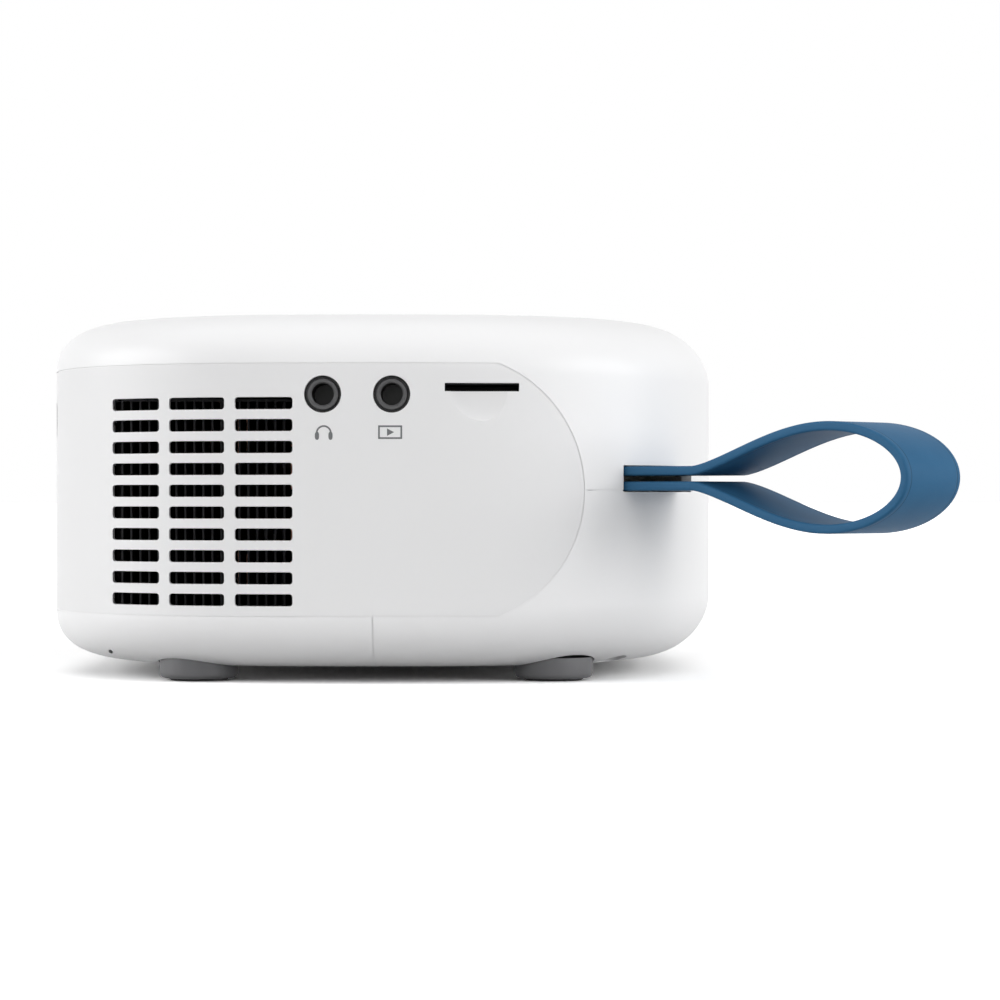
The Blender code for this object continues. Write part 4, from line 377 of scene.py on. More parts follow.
def prism(name, outline, near, far):
    """An outline in X and Z of the body, drawn out along Y between two places."""
    work = bmesh.new()
    rings = []
    for y in (near, far):
        rings.append([work.verts.new((BODY.x + x, BODY.y + y, z)) for x, z in outline])
    count = len(outline)
    for i in range(count):
        j = (i + 1) % count
        work.faces.new((rings[0][i], rings[0][j], rings[1][j], rings[1][i]))
    work.faces.new(rings[0][::-1])
    work.faces.new(rings[1])
    bmesh.ops.recalc_face_normals(work, faces=work.faces)
    return object_of(name, mesh_of(name, work))


def block(name, low, high):
    """A plain cutting block between two corners in the body's own place."""
    outline = [(low[0], low[2]), (high[0], low[2]), (high[0], high[2]), (low[0], high[2])]
    return prism(name, outline, low[1], high[1])


BAND_HALF_HEIGHT = 0.0206
BAND_ARC_RADIUS = 0.0221
BAND_ARC_CENTRE = 0.0124
OUT = 0.1


def band_prism(name, grow, steps=96):
    """The band's outline through the housing, with its round ends at the strap's side."""
    half = BAND_HALF_HEIGHT + grow
    radius = BAND_ARC_RADIUS + grow
    swing = math.asin(half / radius)
    outline = [(-OUT, SPLIT - half)]
    for step in range(steps + 1):
        a = -swing + 2 * swing * step / steps
        outline.append((BAND_ARC_CENTRE + radius * math.cos(a), SPLIT + radius * math.sin(a)))
    outline.append((-OUT, SPLIT + half))
    return prism(name, outline, -OUT, OUT)


def turned(name, axis, place, profile, steps=96, ring=False):
    """A profile of radius and height turned round an axis; a ring's profile closes on itself."""
    work = bmesh.new()
    swap = {"X": (2, 0, 1), "Y": (1, 2, 0), "Z": (0, 1, 2)}[axis]
    rows = []
    for radius, height in profile:
        row = []
        for step in range(steps if radius > 0 else 1):
            a = math.tau * step / steps
            spot = (radius * math.cos(a), radius * math.sin(a), height)
            row.append(work.verts.new([spot[i] + place[k] for k, i in enumerate(swap)]))
        rows.append(row)
    pairs = list(zip(rows, rows[1:]))
    if ring:
        pairs.append((rows[-1], rows[0]))
    for one, two in pairs:
        for i in range(steps):
            j = (i + 1) % steps
            around = [one[i % len(one)], one[j % len(one)], two[j % len(two)], two[i % len(two)]]
            corners = [v for k, v in enumerate(around) if v not in around[:k]]
            if len(corners) > 2:
                work.faces.new(corners)
    bmesh.ops.recalc_face_normals(work, faces=work.faces)
    return object_of(name, mesh_of(name, work))


def on_body(x, y, z=0.0):
    """A place of the body with its middle as the zero."""
    return (BODY.x + x, BODY.y + y, z)


def drill(name, axis, place, radius, near, far, steps=64):
    return turned(name, axis, place, [(0, near), (radius, near), (radius, far), (0, far)], steps)


def joined(name, pieces):
    """Several separate tools as one mesh."""
    work = bmesh.new()
    for piece in pieces:
        work.from_mesh(piece.data)
        bpy.data.objects.remove(piece)
    return object_of(name, mesh_of(name, work))


def pillow(name, inset=0.0):
    """The whole pillow shape, this far inside the housing's outer face."""
    halves = []
    for side in (1.0, -1.0):
        half = object_of("half", grown(PILLOW, "half", start=0.0, side=side, inset=inset))
        if side < 0:
            half.data.flip_normals()
        halves.append(half)
    whole = joined(name, halves)
    work = bmesh.new()
    work.from_mesh(whole.data)
    bmesh.ops.remove_doubles(work, verts=work.verts, dist=MERGE)
    work.to_mesh(whole.data)
    work.free()
    return whole


def paint(piece, finish):
    piece.data.materials.clear()
    piece.data.materials.append(finish)
    return piece


# Strap notch
# A slot in the housing's rear corner that the strap leaves through, turned with the strap.
STRAP_EXIT = (0.0415, -0.0593)
STRAP_TURN = math.radians(-41)
STRAP_WIDTH = 0.0150
STRAP_HEIGHT = 0.03365
STRAP_THICK = 0.0015
STRAP_GAP = 0.0010
NOTCH_LENGTH = 0.0218
NOTCH_PLAY = 0.0004
NOTCH_DEPTH = 0.0060


def notch_block():
    half = STRAP_THICK + STRAP_GAP / 2 + SEAM
    made = block(
        "strap_notch",
        (-NOTCH_DEPTH, -NOTCH_PLAY, STRAP_HEIGHT - half),
        (NOTCH_DEPTH, NOTCH_LENGTH - NOTCH_PLAY, STRAP_HEIGHT + half),
    )
    turn = Matrix.Rotation(STRAP_TURN, 4, "Z")
    place = Matrix.Translation(BODY + Vector((*STRAP_EXIT, 0)))
    made.data.transform(place @ turn @ Matrix.Translation(-BODY))
    return made


# Covers
# Injection-moulded white shells. The top takes the power button; the lower two take the feet,
# screws, tripod insert, speaker slots, power inlet and the reset hole.
BUTTON_X = 0.0200
BUTTON_HOLE = 0.0062
FOOT_PLACES = [(x * 0.0297, y * 0.0524) for x in (-1, 1) for y in (-1, 1)]
FOOT_POCKET = 0.0068
SCREW_PLACES = ((-0.0505, -0.0240), (-0.0460, 0.0433), (0.03925, -0.0474), (0.03925, 0.0474))
WELL_MOUTH = 0.0028
WELL_WALL = 0.0009
WELL_LOW = 0.0030
WELL_TOP = 0.0130
INSERT_X = 0.0120
INSERT_HOLE = 0.0046
SPEAKER_PLACE = (0.0340, 0.0040)
SLOT_LENGTH = 0.0180
SLOT_WIDTH = 0.0016
SLOT_PITCH = 0.0040
SLOT_COUNT = 5
INLET_Y = 0.0100
INLET_Z = 0.0200
INLET_HOLE = 0.0056
PINHOLE_X = -0.0448
PINHOLE_Z = 0.0046
PINHOLE = 0.0004
DEEP = 0.0070
HIGH = 0.0550


def rounded(left, low, right, high, radius, steps=4):
    """A rectangle's outline with round corners."""
    points = []
    for x, z, start in (
        (right - radius, low + radius, -90),
        (right - radius, high - radius, 0),
        (left + radius, high - radius, 90),
        (left + radius, low + radius, 180),
    ):
        for step in range(steps + 1):
            a = math.radians(start + 90 * step / steps)
            points.append((x + radius * math.cos(a), z + radius * math.sin(a)))
    return points


def upright_slot(x, y, length, width):
    """A slot through the bottom, long along X, with round ends."""
    outline = rounded(-length / 2, -width / 2, length / 2, width / 2, width / 2 * 0.98, 8)
    made = prism("slot", outline, -DEEP, DEEP)
    made.data.transform(Matrix.Translation(-BODY))
    made.data.transform(Matrix.Rotation(math.radians(90), 4, "X"))
    made.data.transform(Matrix.Translation(BODY + Vector((x, y, 0))))
    return made


def bottom_cuts():
    tools = [drill("foot", "Z", on_body(*place), FOOT_POCKET, -DEEP, DEEP) for place in FOOT_PLACES]
    tools += [drill("well", "Z", on_body(*place), WELL_MOUTH, -DEEP, DEEP) for place in SCREW_PLACES]
    tools.append(drill("insert", "Z", on_body(INSERT_X, 0), INSERT_HOLE, -DEEP, DEEP))
    for row in range(SLOT_COUNT):
        y = SPEAKER_PLACE[1] + (row - (SLOT_COUNT - 1) / 2) * SLOT_PITCH
        tools.append(upright_slot(SPEAKER_PLACE[0], y, SLOT_LENGTH, SLOT_WIDTH))
    tools.append(drill("inlet", "X", on_body(0, INLET_Y, INLET_Z), INLET_HOLE, HIGH, OUT))
    tools.append(drill("pinhole", "Y", on_body(PINHOLE_X, 0, PINHOLE_Z), PINHOLE, -OUT, -WELL_TOP, 16))
    return joined("bottom_cuts", tools)


top = shell_half("housing_top", 1)
boolean(top, band_prism("band_clearance", SEAM / 2))
boolean(top, notch_block())
boolean(top, drill("button_hole", "Z", on_body(BUTTON_X, 0), BUTTON_HOLE, HIGH, OUT))
smooth(top.data)
settle(top, "housing", "shell_white", "top_cover")

for name, node, low, high in (
    ("housing_bottom_rear", "bottom_shell", -OUT, -SEAM / 2),
    ("housing_bottom_front", "bottom_front_cover", SEAM / 2, OUT),
):
    cover = shell_half(name, -1)
    boolean(cover, band_prism("band_clearance", SEAM / 2))
    boolean(cover, block("other_cover", (low, -OUT, -OUT), (high, OUT, OUT)))
    boolean(cover, bottom_cuts())
    if node == "bottom_shell":
        boolean(cover, notch_block())
    wells = [
        turned(
            "well",
            "Z",
            on_body(*place),
            [
                (WELL_MOUTH, WELL_LOW),
                (WELL_MOUTH + WELL_WALL, WELL_LOW),
                (WELL_MOUTH + WELL_WALL, WELL_TOP),
                (WELL_MOUTH, WELL_TOP),
            ],
            48,
            ring=True,
        )
        for place in SCREW_PLACES
        if (place[0] > 0) == (node == "bottom_shell")
    ]
    wells = joined("wells", wells)
    boolean(wells, pillow("inside", WALL / 2), "INTERSECT")
    cover = joined(name, [cover, wells])
    paint(cover, shell_finish)
    smooth(cover.data)
    settle(cover, "housing", "shell_white", node)


# Seam backing
# The lips that the covers overlap with: a thin inner wall behind each parting line, so a seam
# shows as a fine grey groove and no light comes through.
LIP_INSET = 0.00014
LIP_THICK = 0.0010
LIP_REACH = 0.0013


def lip_part(name, tool):
    """The part of a thin inner pillow that lies in a tool."""
    made = pillow(name, LIP_INSET)
    wall = made.modifiers.new("wall", "SOLIDIFY")
    wall.thickness = LIP_THICK
    wall.offset = -1
    boolean(made, tool, "INTERSECT")
    return made


frame_tool = band_prism("lip_outer", LIP_REACH)
boolean(frame_tool, band_prism("lip_inner", -LIP_REACH))
round_band = lip_part("lip_band", frame_tool)
low = (BAND_ARC_CENTRE, -OUT, SPLIT - LIP_REACH)
rear_strip = block("rear_strip", low, (OUT, OUT, SPLIT + LIP_REACH))
between = lip_part("lip_split", rear_strip)
boolean(between, band_prism("lip_clear", LIP_REACH / 2))
under = lip_part("lip_under", block("lip_under", (-LIP_REACH, -OUT, -OUT), (LIP_REACH, OUT, SPLIT)))
boolean(under, band_prism("lip_clear", LIP_REACH / 2))
lips = joined("seam_lips", [round_band, between, under])
boolean(lips, notch_block())
paint(lips, shell_finish)
smooth(lips.data)
settle(lips, "housing", "shell_white")


# Wrap band
# A separate moulded wall, slightly greyer, that carries the vents and the sockets.
VENT_EDGE = -0.0130
VENT_LENGTHS = (0.0095, 0.00931, 0.00836)
VENT_GAP = 0.00172
VENT_HEIGHT = 0.0020
VENT_PITCH = 0.00356
VENT_ROWS = 10
VENT_TOP_DROP = 0.00645
VENT_ROUND = 0.0005
JACKS = (("headphone_jack", -0.0081), ("av_jack", 0.0031))
JACK_Z = 0.0473
JACK_HOLE = 0.00303
CARD_X = 0.01775
CARD_Z = 0.04845
CARD_SLOT = (0.0121, 0.00136)
CARD_ROUND = 0.0001
SCOOP = (0.00605, 0.0009, 0.0048)
PORT_PLAY = 0.0003
PORT_ROUND = 0.0008
LENS_Y = 0.0190
LENS_Z = 0.0294
BEZEL_HOLE = 0.0171
WINDOW_Y = -0.0280
WINDOW_Z = 0.0440
WINDOW_HOLE = 0.0031
WALL_DEPTH = 0.0600
FRONT_DEPTH = -0.0450


def wall_at(x):
    """Half width of the housing at a place along X, on its upright wall."""
    return HALF_WIDTH * (1 - abs(x / HALF_DEPTH) ** PLAN_POWER) ** (1 / PLAN_POWER)


def vents():
    made = []
    for row in range(VENT_ROWS):
        z = SPLIT + BAND_HALF_HEIGHT - VENT_TOP_DROP - row * VENT_PITCH
        right = VENT_EDGE
        for length in VENT_LENGTHS:
            left = right - length
            outline = rounded(left, z - VENT_HEIGHT / 2, right, z + VENT_HEIGHT / 2, VENT_ROUND)
            made.append(prism("vent", outline, -OUT, OUT))
            right = left - VENT_GAP
    return joined("vents", made)


def scoop():
    """The thumb scoop under the card slot: a quarter of an ellipsoid, deepest at the slot."""
    angles = [math.pi / 2 * step / 24 for step in range(25)]
    bowl = [(math.sin(a), -math.cos(a)) for a in angles]
    made = turned("scoop", "Z", (0, 0, 0), [*bowl, (0, 0)])
    x, y, z = SCOOP
    size = Matrix.Diagonal((x, y, z, 1))
    place = Matrix.Translation(on_body(CARD_X, -wall_at(CARD_X), CARD_Z - CARD_SLOT[1] / 2))
    made.data.transform(place @ size)
    return made


def band_cuts():
    tools = [drill(name, "Y", on_body(x, 0, JACK_Z), JACK_HOLE, -OUT, -WALL_DEPTH) for name, x in JACKS]
    wide, tall = [size / 2 for size in CARD_SLOT]
    outline = rounded(CARD_X - wide, CARD_Z - tall, CARD_X + wide, CARD_Z + tall, CARD_ROUND)
    tools.append(prism("card_slot", outline, -OUT, -WALL_DEPTH))
    for node in ("hdmi_socket", "usb_socket"):
        low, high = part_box(node)
        left, right = low.x - BODY.x - PORT_PLAY, high.x - BODY.x + PORT_PLAY
        outline = rounded(left, low.z - PORT_PLAY, right, high.z + PORT_PLAY, PORT_ROUND)
        tools.append(prism(node, outline, WALL_DEPTH, OUT))
    for y, z, hole, steps in (
        (LENS_Y, LENS_Z, BEZEL_HOLE, 128),
        (WINDOW_Y, WINDOW_Z, WINDOW_HOLE, 64),
    ):
        tools.append(drill("front_hole", "X", on_body(0, y, z), hole, -OUT, FRONT_DEPTH, steps))
    return joined("band_cuts", tools)


band = pillow("band")
wall = band.modifiers.new("wall", "SOLIDIFY")
wall.thickness = WALL
wall.offset = -1
wall.use_even_offset = True
boolean(band, band_prism("band_outline", -SEAM / 2), "INTERSECT")
boolean(band, vents())
boolean(band, band_cuts())
boolean(band, scoop())
smooth(band.data)
paint(band, band_finish)
settle(band, "housing", "band_white", "wrap_band")


# Printed signs
# Generic signs pad-printed under the jacks: headphones, and a screen with a play triangle.
SIGN_PROUD = 0.00002
HEADPHONE_PLACE = (-0.0079, 0.04104)
SCREEN_PLACE = (0.00287, 0.0411)
SIGN_LINE = 0.00028

ink = speckled("sign_ink", (0.14, 0.145, 0.15), 0.6, shade=0.1)


def arc_band(middle, radius, start, end, line, steps=32):
    """The outline of a bent line."""
    outer = []
    inner = []
    for step in range(steps + 1):
        a = math.radians(start + (end - start) * step / steps)
        for side, points in ((1, outer), (-1, inner)):
            r = radius + side * line / 2
            points.append((middle[0] + r * math.cos(a), middle[1] + r * math.sin(a)))
    return list(zip(outer, inner))


def on_band(x, z):
    return on_body(x, -wall_at(x) - SIGN_PROUD, z)


def printed(name, strips, place=on_band, body="housing"):
    """Flat print on a piece: each strip is a row of point pairs, and place sets them on it."""
    work = bmesh.new()
    for strip in strips:
        last = None
        for pair in strip:
            now = [work.verts.new(place(*point)) for point in pair]
            if last:
                work.faces.new((last[0], last[1], now[1], now[0]))
            last = now
    bmesh.ops.recalc_face_normals(work, faces=work.faces)
    piece = paint(object_of(name, mesh_of(name, work)), ink)
    return settle(piece, body, "black_plastic")


def bar(left, low, right, high):
    return [((left, low), (left, high)), ((right, low), (right, high))]


def pad(middle, low, high, wide, steps=16):
    """A spot with full round ends, higher than it is wide."""
    spot = []
    for step in range(steps + 1):
        t = -math.cos(math.pi * step / steps)
        half = wide / 2 * (1 - abs(t) ** 2.6) ** (1 / 2.6) + 0.00001
        z = (low + high) / 2 + t * (high - low) / 2
        spot.append(((middle - half, z), (middle + half, z)))
    return spot


x, z = HEADPHONE_PLACE
printed(
    "sign_headphones",
    [
        arc_band((x, z - 0.00010), 0.00115, 0, 180, SIGN_LINE),
        pad(x - 0.00110, z - 0.00118, z + 0.00012, 0.00066),
        pad(x + 0.00110, z - 0.00118, z + 0.00012, 0.00066),
    ],
)
x, z = SCREEN_PLACE
wide, tall = 0.00195, 0.00110
printed(
    "sign_screen",
    [
        bar(x - wide, z - tall, x + wide, z - tall + SIGN_LINE),
        bar(x - wide, z + tall - SIGN_LINE, x + wide, z + tall),
        bar(x - wide, z - tall, x - wide + SIGN_LINE, z + tall),
        bar(x + wide - SIGN_LINE, z - tall, x + wide, z + tall),
        [
            ((x - 0.0005, z - 0.0006), (x - 0.0005, z + 0.0006)),
            ((x + 0.0006, z - 0.00002), (x + 0.0006, z + 0.00002)),
        ],
    ],
)


# Jacks
# Two 3.5 mm sockets of black plastic in the band's holes. Each has a dark grey face with a
# chamfered mouth, and a ring round it that lies deeper; the ring and the deep bore are near-black, black
# plastic with painted shade.
JACK_RECESS = 0.0005
JACK_GROOVE = 0.0017
JACK_BODY = 0.00300
JACK_FACE = 0.00255
JACK_BORE = 0.00180
JACK_DEPTH = 0.0110

jack_black_and_shade = speckled("jack_black_and_shade_finish", (0.008, 0.008, 0.009), 0.42, shade=0.15)
face_finish = speckled("jack_face_finish", (0.062, 0.062, 0.064), 0.42, shade=0.10)
for node, x in JACKS:
    front = -wall_at(x)
    face = front + JACK_RECESS
    collar = turned(
        node + "_body",
        "Y",
        on_body(x, 0, JACK_Z),
        [
            (JACK_BODY, front + JACK_DEPTH),
            (JACK_BODY, front + JACK_GROOVE + 0.0001),
            (JACK_BODY - 0.0001, front + JACK_GROOVE),
            (JACK_FACE + 0.00012, front + JACK_GROOVE),
            (JACK_FACE, face + 0.00012),
            (JACK_FACE - 0.00012, face),
            (JACK_BORE + 0.00022, face),
            (JACK_BORE, face + 0.00022),
            (JACK_BORE, front + JACK_DEPTH - 0.0010),
            (0, front + JACK_DEPTH - 0.0010),
            (0, front + JACK_DEPTH),
        ],
    )
    paint(collar, face_finish)
    collar.data.materials.append(jack_black_and_shade)
    # The ring in the groove and the deep bore take the near-black finish: black plastic, darkened
    # further as painted shade.
    for side in collar.data.polygons:
        middle = side.center
        reach = math.hypot(middle.x - BODY.x - x, middle.z - JACK_Z)
        if reach > JACK_FACE - 0.00005 or middle.y - BODY.y > face + 0.0030:
            side.material_index = 1
    smooth(collar.data, 30)
    settle(collar, "housing", "jack_black", node)


# Power button
# A grey satin disc with a shallow dish and a generic standby sign, in the top cover.
BUTTON_RADIUS = 0.0060
BUTTON_TOP = 0.0611
BUTTON_FOOT = 0.0575

button_finish = speckled("button_grey_finish", (0.60, 0.61, 0.62), 0.38)
DISH_RADIUS = 0.00516
DISH_DEPTH = 0.0005
dish = []
for step in range(13):
    share = step / 12
    dish.append((DISH_RADIUS * share, BUTTON_TOP - DISH_DEPTH * (1 - share**2)))
button = turned(
    "power_button_cap",
    "Z",
    on_body(BUTTON_X, 0),
    [
        *dish,
        (BUTTON_RADIUS - 0.00045, BUTTON_TOP),
        (BUTTON_RADIUS - 0.00018, BUTTON_TOP - 0.00008),
        (BUTTON_RADIUS - 0.00003, BUTTON_TOP - 0.00024),
        (BUTTON_RADIUS, BUTTON_TOP - 0.00045),
        (BUTTON_RADIUS, BUTTON_FOOT),
        (0, BUTTON_FOOT),
    ],
)
paint(button, button_finish)
smooth(button.data, 50)
settle(button, "button", "button_grey", "power_button")


def in_dish(x, y):
    deep = DISH_DEPTH * (1 - (math.hypot(x, y) / DISH_RADIUS) ** 2)
    return on_body(BUTTON_X + y, -x, BUTTON_TOP - deep + SIGN_PROUD)


stem = [((-0.000175, 0.0006), (0.000175, 0.0006)), ((-0.000175, 0.0026), (0.000175, 0.0026))]
printed("sign_standby", [arc_band((0, 0), 0.0019, 125, 415, 0.00035, 48), stem], in_dish, "button")


# Lens group
# A white bezel holds a black ribbed focus ring; inside it the black barrel slides with its glass.
RING_RADIUS = 0.0150
RING_WALL = 0.0026
RING_FRONT = -0.0602
RING_BACK = -0.05185
RIB_COUNT = 72
RIB_WIDTH = 0.00075
RIB_HEIGHT = 0.00035
MARK_RADIUS = 0.00035
BEZEL_RADIUS = 0.0170
BEZEL_WALL = 0.0017
BEZEL_FRONT = -0.0592
BEZEL_SHELF = -0.0519
BARREL_RADIUS = 0.0121
BARREL_FRONT = -0.0562
BARREL_BORE = 0.0107
LENS_AXIS = on_body(0, LENS_Y, LENS_Z)

ring_finish = speckled("focus_ring_finish", (0.020, 0.020, 0.022), 0.45, shade=0.2)
barrel_finish = speckled("barrel_finish", (0.012, 0.012, 0.013), 0.55, shade=0.2)


def rib_tree():
    """Ribs round the focus ring: one rib set on every point of a circle, turned outwards."""
    tree, size = new_tree("focus_ribs", ribs=RIB_COUNT, radius=RING_RADIUS - RIB_HEIGHT, width=RIB_WIDTH)
    ring = node_of(tree, "GeometryNodeMeshCircle", Vertices=size["ribs"], Radius=size["radius"])
    middle = (BEZEL_FRONT + RING_FRONT) / 2 + 0.0002
    long = BEZEL_FRONT - RING_FRONT - 0.0006
    shape = node_of(tree, "ShaderNodeCombineXYZ", X=RIB_HEIGHT * 2, Y=size["width"], Z=long)
    rib = node_of(tree, "GeometryNodeMeshCube", Size=shape.outputs[0])
    place = tree.nodes.new("GeometryNodeInputPosition").outputs[0]
    outwards = node_of(tree, "FunctionNodeAlignRotationToVector", Vector=place)
    outwards.axis = "X"
    outwards.pivot_axis = "Z"
    ribs = node_of(
        tree,
        "GeometryNodeInstanceOnPoints",
        Points=ring.outputs["Mesh"],
        Instance=rib.outputs["Mesh"],
        Rotation=outwards.outputs[0],
    )
    turn = node_of(
        tree,
        "GeometryNodeTransform",
        Geometry=ribs.outputs[0],
        Rotation=(0, math.radians(90), 0),
        Translation=(LENS_AXIS[0] + middle, LENS_AXIS[1], LENS_AXIS[2]),
    )
    end_tree(tree, turn.outputs[0], ring_finish)
    return tree


body = turned(
    "ring",
    "X",
    LENS_AXIS,
    [
        (RING_RADIUS - RIB_HEIGHT, RING_BACK),
        (RING_RADIUS - RIB_HEIGHT, RING_FRONT + 0.00045),
        (RING_RADIUS - RIB_HEIGHT - 0.00015, RING_FRONT + 0.00012),
        (RING_RADIUS - RIB_HEIGHT - 0.00045, RING_FRONT),
        (RING_RADIUS - RING_WALL + 0.0007, RING_FRONT),
        (RING_RADIUS - RING_WALL, RING_FRONT + 0.0007),
        (RING_RADIUS - RING_WALL, RING_BACK),
    ],
    160,
    ring=True,
)
ribs = object_of("ribs", grown(rib_tree(), "ribs"))
ring = paint(joined("focus_grip", [body, ribs]), ring_finish)
smooth(ring.data, 30)
settle(ring, "focus", "black_plastic", "focus_ring")

mark = drill(
    "focus_mark",
    "X",
    (LENS_AXIS[0], LENS_AXIS[1], LENS_AXIS[2] + RING_RADIUS - RING_WALL / 2),
    MARK_RADIUS,
    RING_FRONT - SIGN_PROUD,
    RING_FRONT,
    32,
)
settle(paint(mark, band_finish), "focus", "band_white")

bezel = turned(
    "bezel_ring",
    "X",
    LENS_AXIS,
    [
        (BEZEL_RADIUS, BEZEL_SHELF),
        (BEZEL_RADIUS, BEZEL_FRONT + 0.0009),
        (BEZEL_RADIUS - 0.00012, BEZEL_FRONT + 0.00045),
        (BEZEL_RADIUS - 0.0004, BEZEL_FRONT + 0.00012),
        (BEZEL_RADIUS - 0.0008, BEZEL_FRONT),
        (BEZEL_RADIUS - BEZEL_WALL + 0.00025, BEZEL_FRONT),
        (BEZEL_RADIUS - BEZEL_WALL, BEZEL_FRONT + 0.00025),
        (BEZEL_RADIUS - BEZEL_WALL, BEZEL_SHELF),
    ],
    160,
    ring=True,
)
paint(bezel, band_finish)
smooth(bezel.data, 40)
settle(bezel, "housing", "band_white", "lens_bezel")

glass_low, glass_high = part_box("front_lens")
glass_radius = (glass_high.y - glass_low.y) / 2
glass_front = glass_low.x - BODY.x
glass_back = glass_high.x - BODY.x
steps_in = []
for step in range(4):
    x = BARREL_FRONT + 0.0004 + 0.00045 * step
    steps_in += [(BARREL_BORE - 0.00012 * step, x), (BARREL_BORE - 0.00012 * (step + 1), x + 0.00012)]
barrel_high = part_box("lens_barrel")[1]
barrel = turned(
    "barrel_tube",
    "X",
    LENS_AXIS,
    [
        (BARREL_RADIUS, barrel_high.x - BODY.x),
        (BARREL_RADIUS, BARREL_FRONT + 0.0003),
        (BARREL_RADIUS - 0.0003, BARREL_FRONT),
        (BARREL_BORE + 0.0003, BARREL_FRONT),
        *steps_in,
        (glass_radius - 0.0004, BARREL_FRONT + 0.0024),
        (glass_radius - 0.0004, glass_front + 0.0014),
        (glass_radius, glass_front + 0.0014),
        (glass_radius, barrel_high.x - BODY.x),
    ],
    128,
    ring=True,
)
paint(barrel, barrel_finish)
smooth(barrel.data, 30)
settle(barrel, "lens_group", "black_plastic", "lens_barrel")

coating, tree, shader, where = new_finish("coated_glass")
shader.inputs["Transmission Weight"].default_value = 1.0
shader.inputs["IOR"].default_value = 1.52
shader.inputs["Coat Weight"].default_value = 0.6
dust = node_of(tree, "ShaderNodeTexNoise", Vector=where, Scale=900.0, Detail=3.0)
facing = node_of(tree, "ShaderNodeLayerWeight", Blend=0.35)
tint = tinted(tree, facing.outputs["Facing"], (0.80, 0.86, 0.95), (0.62, 0.50, 0.85))
tree.links.new(tint, shader.inputs["Base Color"])
gloss(tree, shader, dust.outputs[0], 0.01, 0.04)

GLASS_CHAMFER = 0.0002
crown = (glass_back - glass_front) * 0.45
front_face = [
    (glass_radius * step / 24, glass_front + crown * (step / 24) ** 2) for step in range(25)
]
lens = turned(
    "front_glass",
    "X",
    LENS_AXIS,
    [
        *front_face,
        (glass_radius, glass_back - GLASS_CHAMFER),
        (glass_radius - GLASS_CHAMFER, glass_back),
        (0, glass_back),
    ],
    128,
)
paint(lens, coating)
smooth(lens.data, 40)
settle(lens, "lens_group", "lens_glass", "front_lens")


# Infrared window
# A small dark-red disc beside the lens that the remote control shines on. Its face is moulded to
# the wall's own curve.
WINDOW_RADIUS = 0.0030
WINDOW_SUNK = 0.00008
window_low, window_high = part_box("ir_window")
window_finish = speckled("dark_window_finish", (0.020, 0.006, 0.008), 0.12, shade=0.3, coat=0.5)
face = window_low.x - BODY.x
back = window_high.x - BODY.x
window = drill("ir_disc", "X", on_body(0, WINDOW_Y, WINDOW_Z), WINDOW_RADIUS, face, back, 96)
boolean(window, pillow("flush", WINDOW_SUNK), "INTERSECT")
paint(window, window_finish)
smooth(window.data, 50)
settle(window, "housing", "dark_window", "ir_window")


# Feet
# Four dark grey cups snapped into the bottom, each with a black rubber pad. One cup and one pad
# are repeated over the corners of a grid.
CUP_RADIUS = 0.0065
CUP_LOW = 0.0004
CUP_TOP = 0.0039
PAD_RADIUS = 0.0050
PAD_TOP = 0.0012
FOOT_SPREAD_X = 0.0594
FOOT_SPREAD_Y = 0.1048

cup_finish = speckled("foot_grey_finish", (0.115, 0.115, 0.120), 0.50, shade=0.12)
pad_finish = speckled("foot_rubber_finish", (0.075, 0.075, 0.077), 0.85, grain=0.0004, depth=0.00001)


def corner_tree(name, piece, finish):
    """A piece set on the four corners of a rectangle."""
    tree, size = new_tree(name, spread_x=FOOT_SPREAD_X, spread_y=FOOT_SPREAD_Y)
    corners = node_of(
        tree,
        "GeometryNodeMeshGrid",
        Size_X=size["spread_x"],
        Size_Y=size["spread_y"],
        Vertices_X=2,
        Vertices_Y=2,
    )
    source = node_of(tree, "GeometryNodeObjectInfo", Object=piece)
    set_out = node_of(
        tree,
        "GeometryNodeInstanceOnPoints",
        Points=corners.outputs["Mesh"],
        Instance=source.outputs["Geometry"],
    )
    moved = node_of(
        tree, "GeometryNodeTransform", Geometry=set_out.outputs[0], Translation=tuple(BODY)
    )
    end_tree(tree, moved.outputs[0], finish)
    return tree


for name, finish, slot, profile in (
    (
        "foot_cup",
        cup_finish,
        "foot_grey",
        [
            (0, 0.0010),
            (PAD_RADIUS + 0.0001, 0.0010),
            (PAD_RADIUS + 0.0001, CUP_LOW),
            (CUP_RADIUS - 0.0008, CUP_LOW),
            (CUP_RADIUS - 0.0004, CUP_LOW + 0.00011),
            (CUP_RADIUS - 0.00011, CUP_LOW + 0.0004),
            (CUP_RADIUS, CUP_LOW + 0.0008),
            (CUP_RADIUS, CUP_TOP),
            (0, CUP_TOP),
        ],
    ),
    (
        "foot_pad",
        pad_finish,
        "foot_rubber",
        [
            (0, 0.00015),
            (0.0012, 0.00015),
            (0.0013, 0),
            (0.0024, 0),
            (0.0025, 0.00015),
            (0.0029, 0.00015),
            (0.0030, 0),
            (0.0046, 0),
            (PAD_RADIUS, 0.0003),
            (PAD_RADIUS, PAD_TOP),
            (0, PAD_TOP),
        ],
    ),
):
    one = turned(name, "Z", (0, 0, 0), profile)
    smooth(one.data, 40)
    feet = object_of(name + "s", grown(corner_tree(name + "_corners", one, finish), name + "s"))
    bpy.data.objects.remove(one)
    settle(feet, "housing", slot, *[f"{name}_{i}" for i in range(1, 5)])


# Power inlet and tripod insert
# A round black barrel socket in the strap end, and a turned brass nut with a quarter-inch thread
# moulded into the bottom.
INLET_FACE = 0.057931
INLET_FLANGE = 0.0055
INLET_BORE = 0.00275
INLET_PIN = 0.0010
INSERT_RADIUS = 0.0045
INSERT_BORE = 0.0026
INSERT_LOW = 0.0022
THREAD_PITCH = 0.00127
THREAD_DEPTH = 0.00035

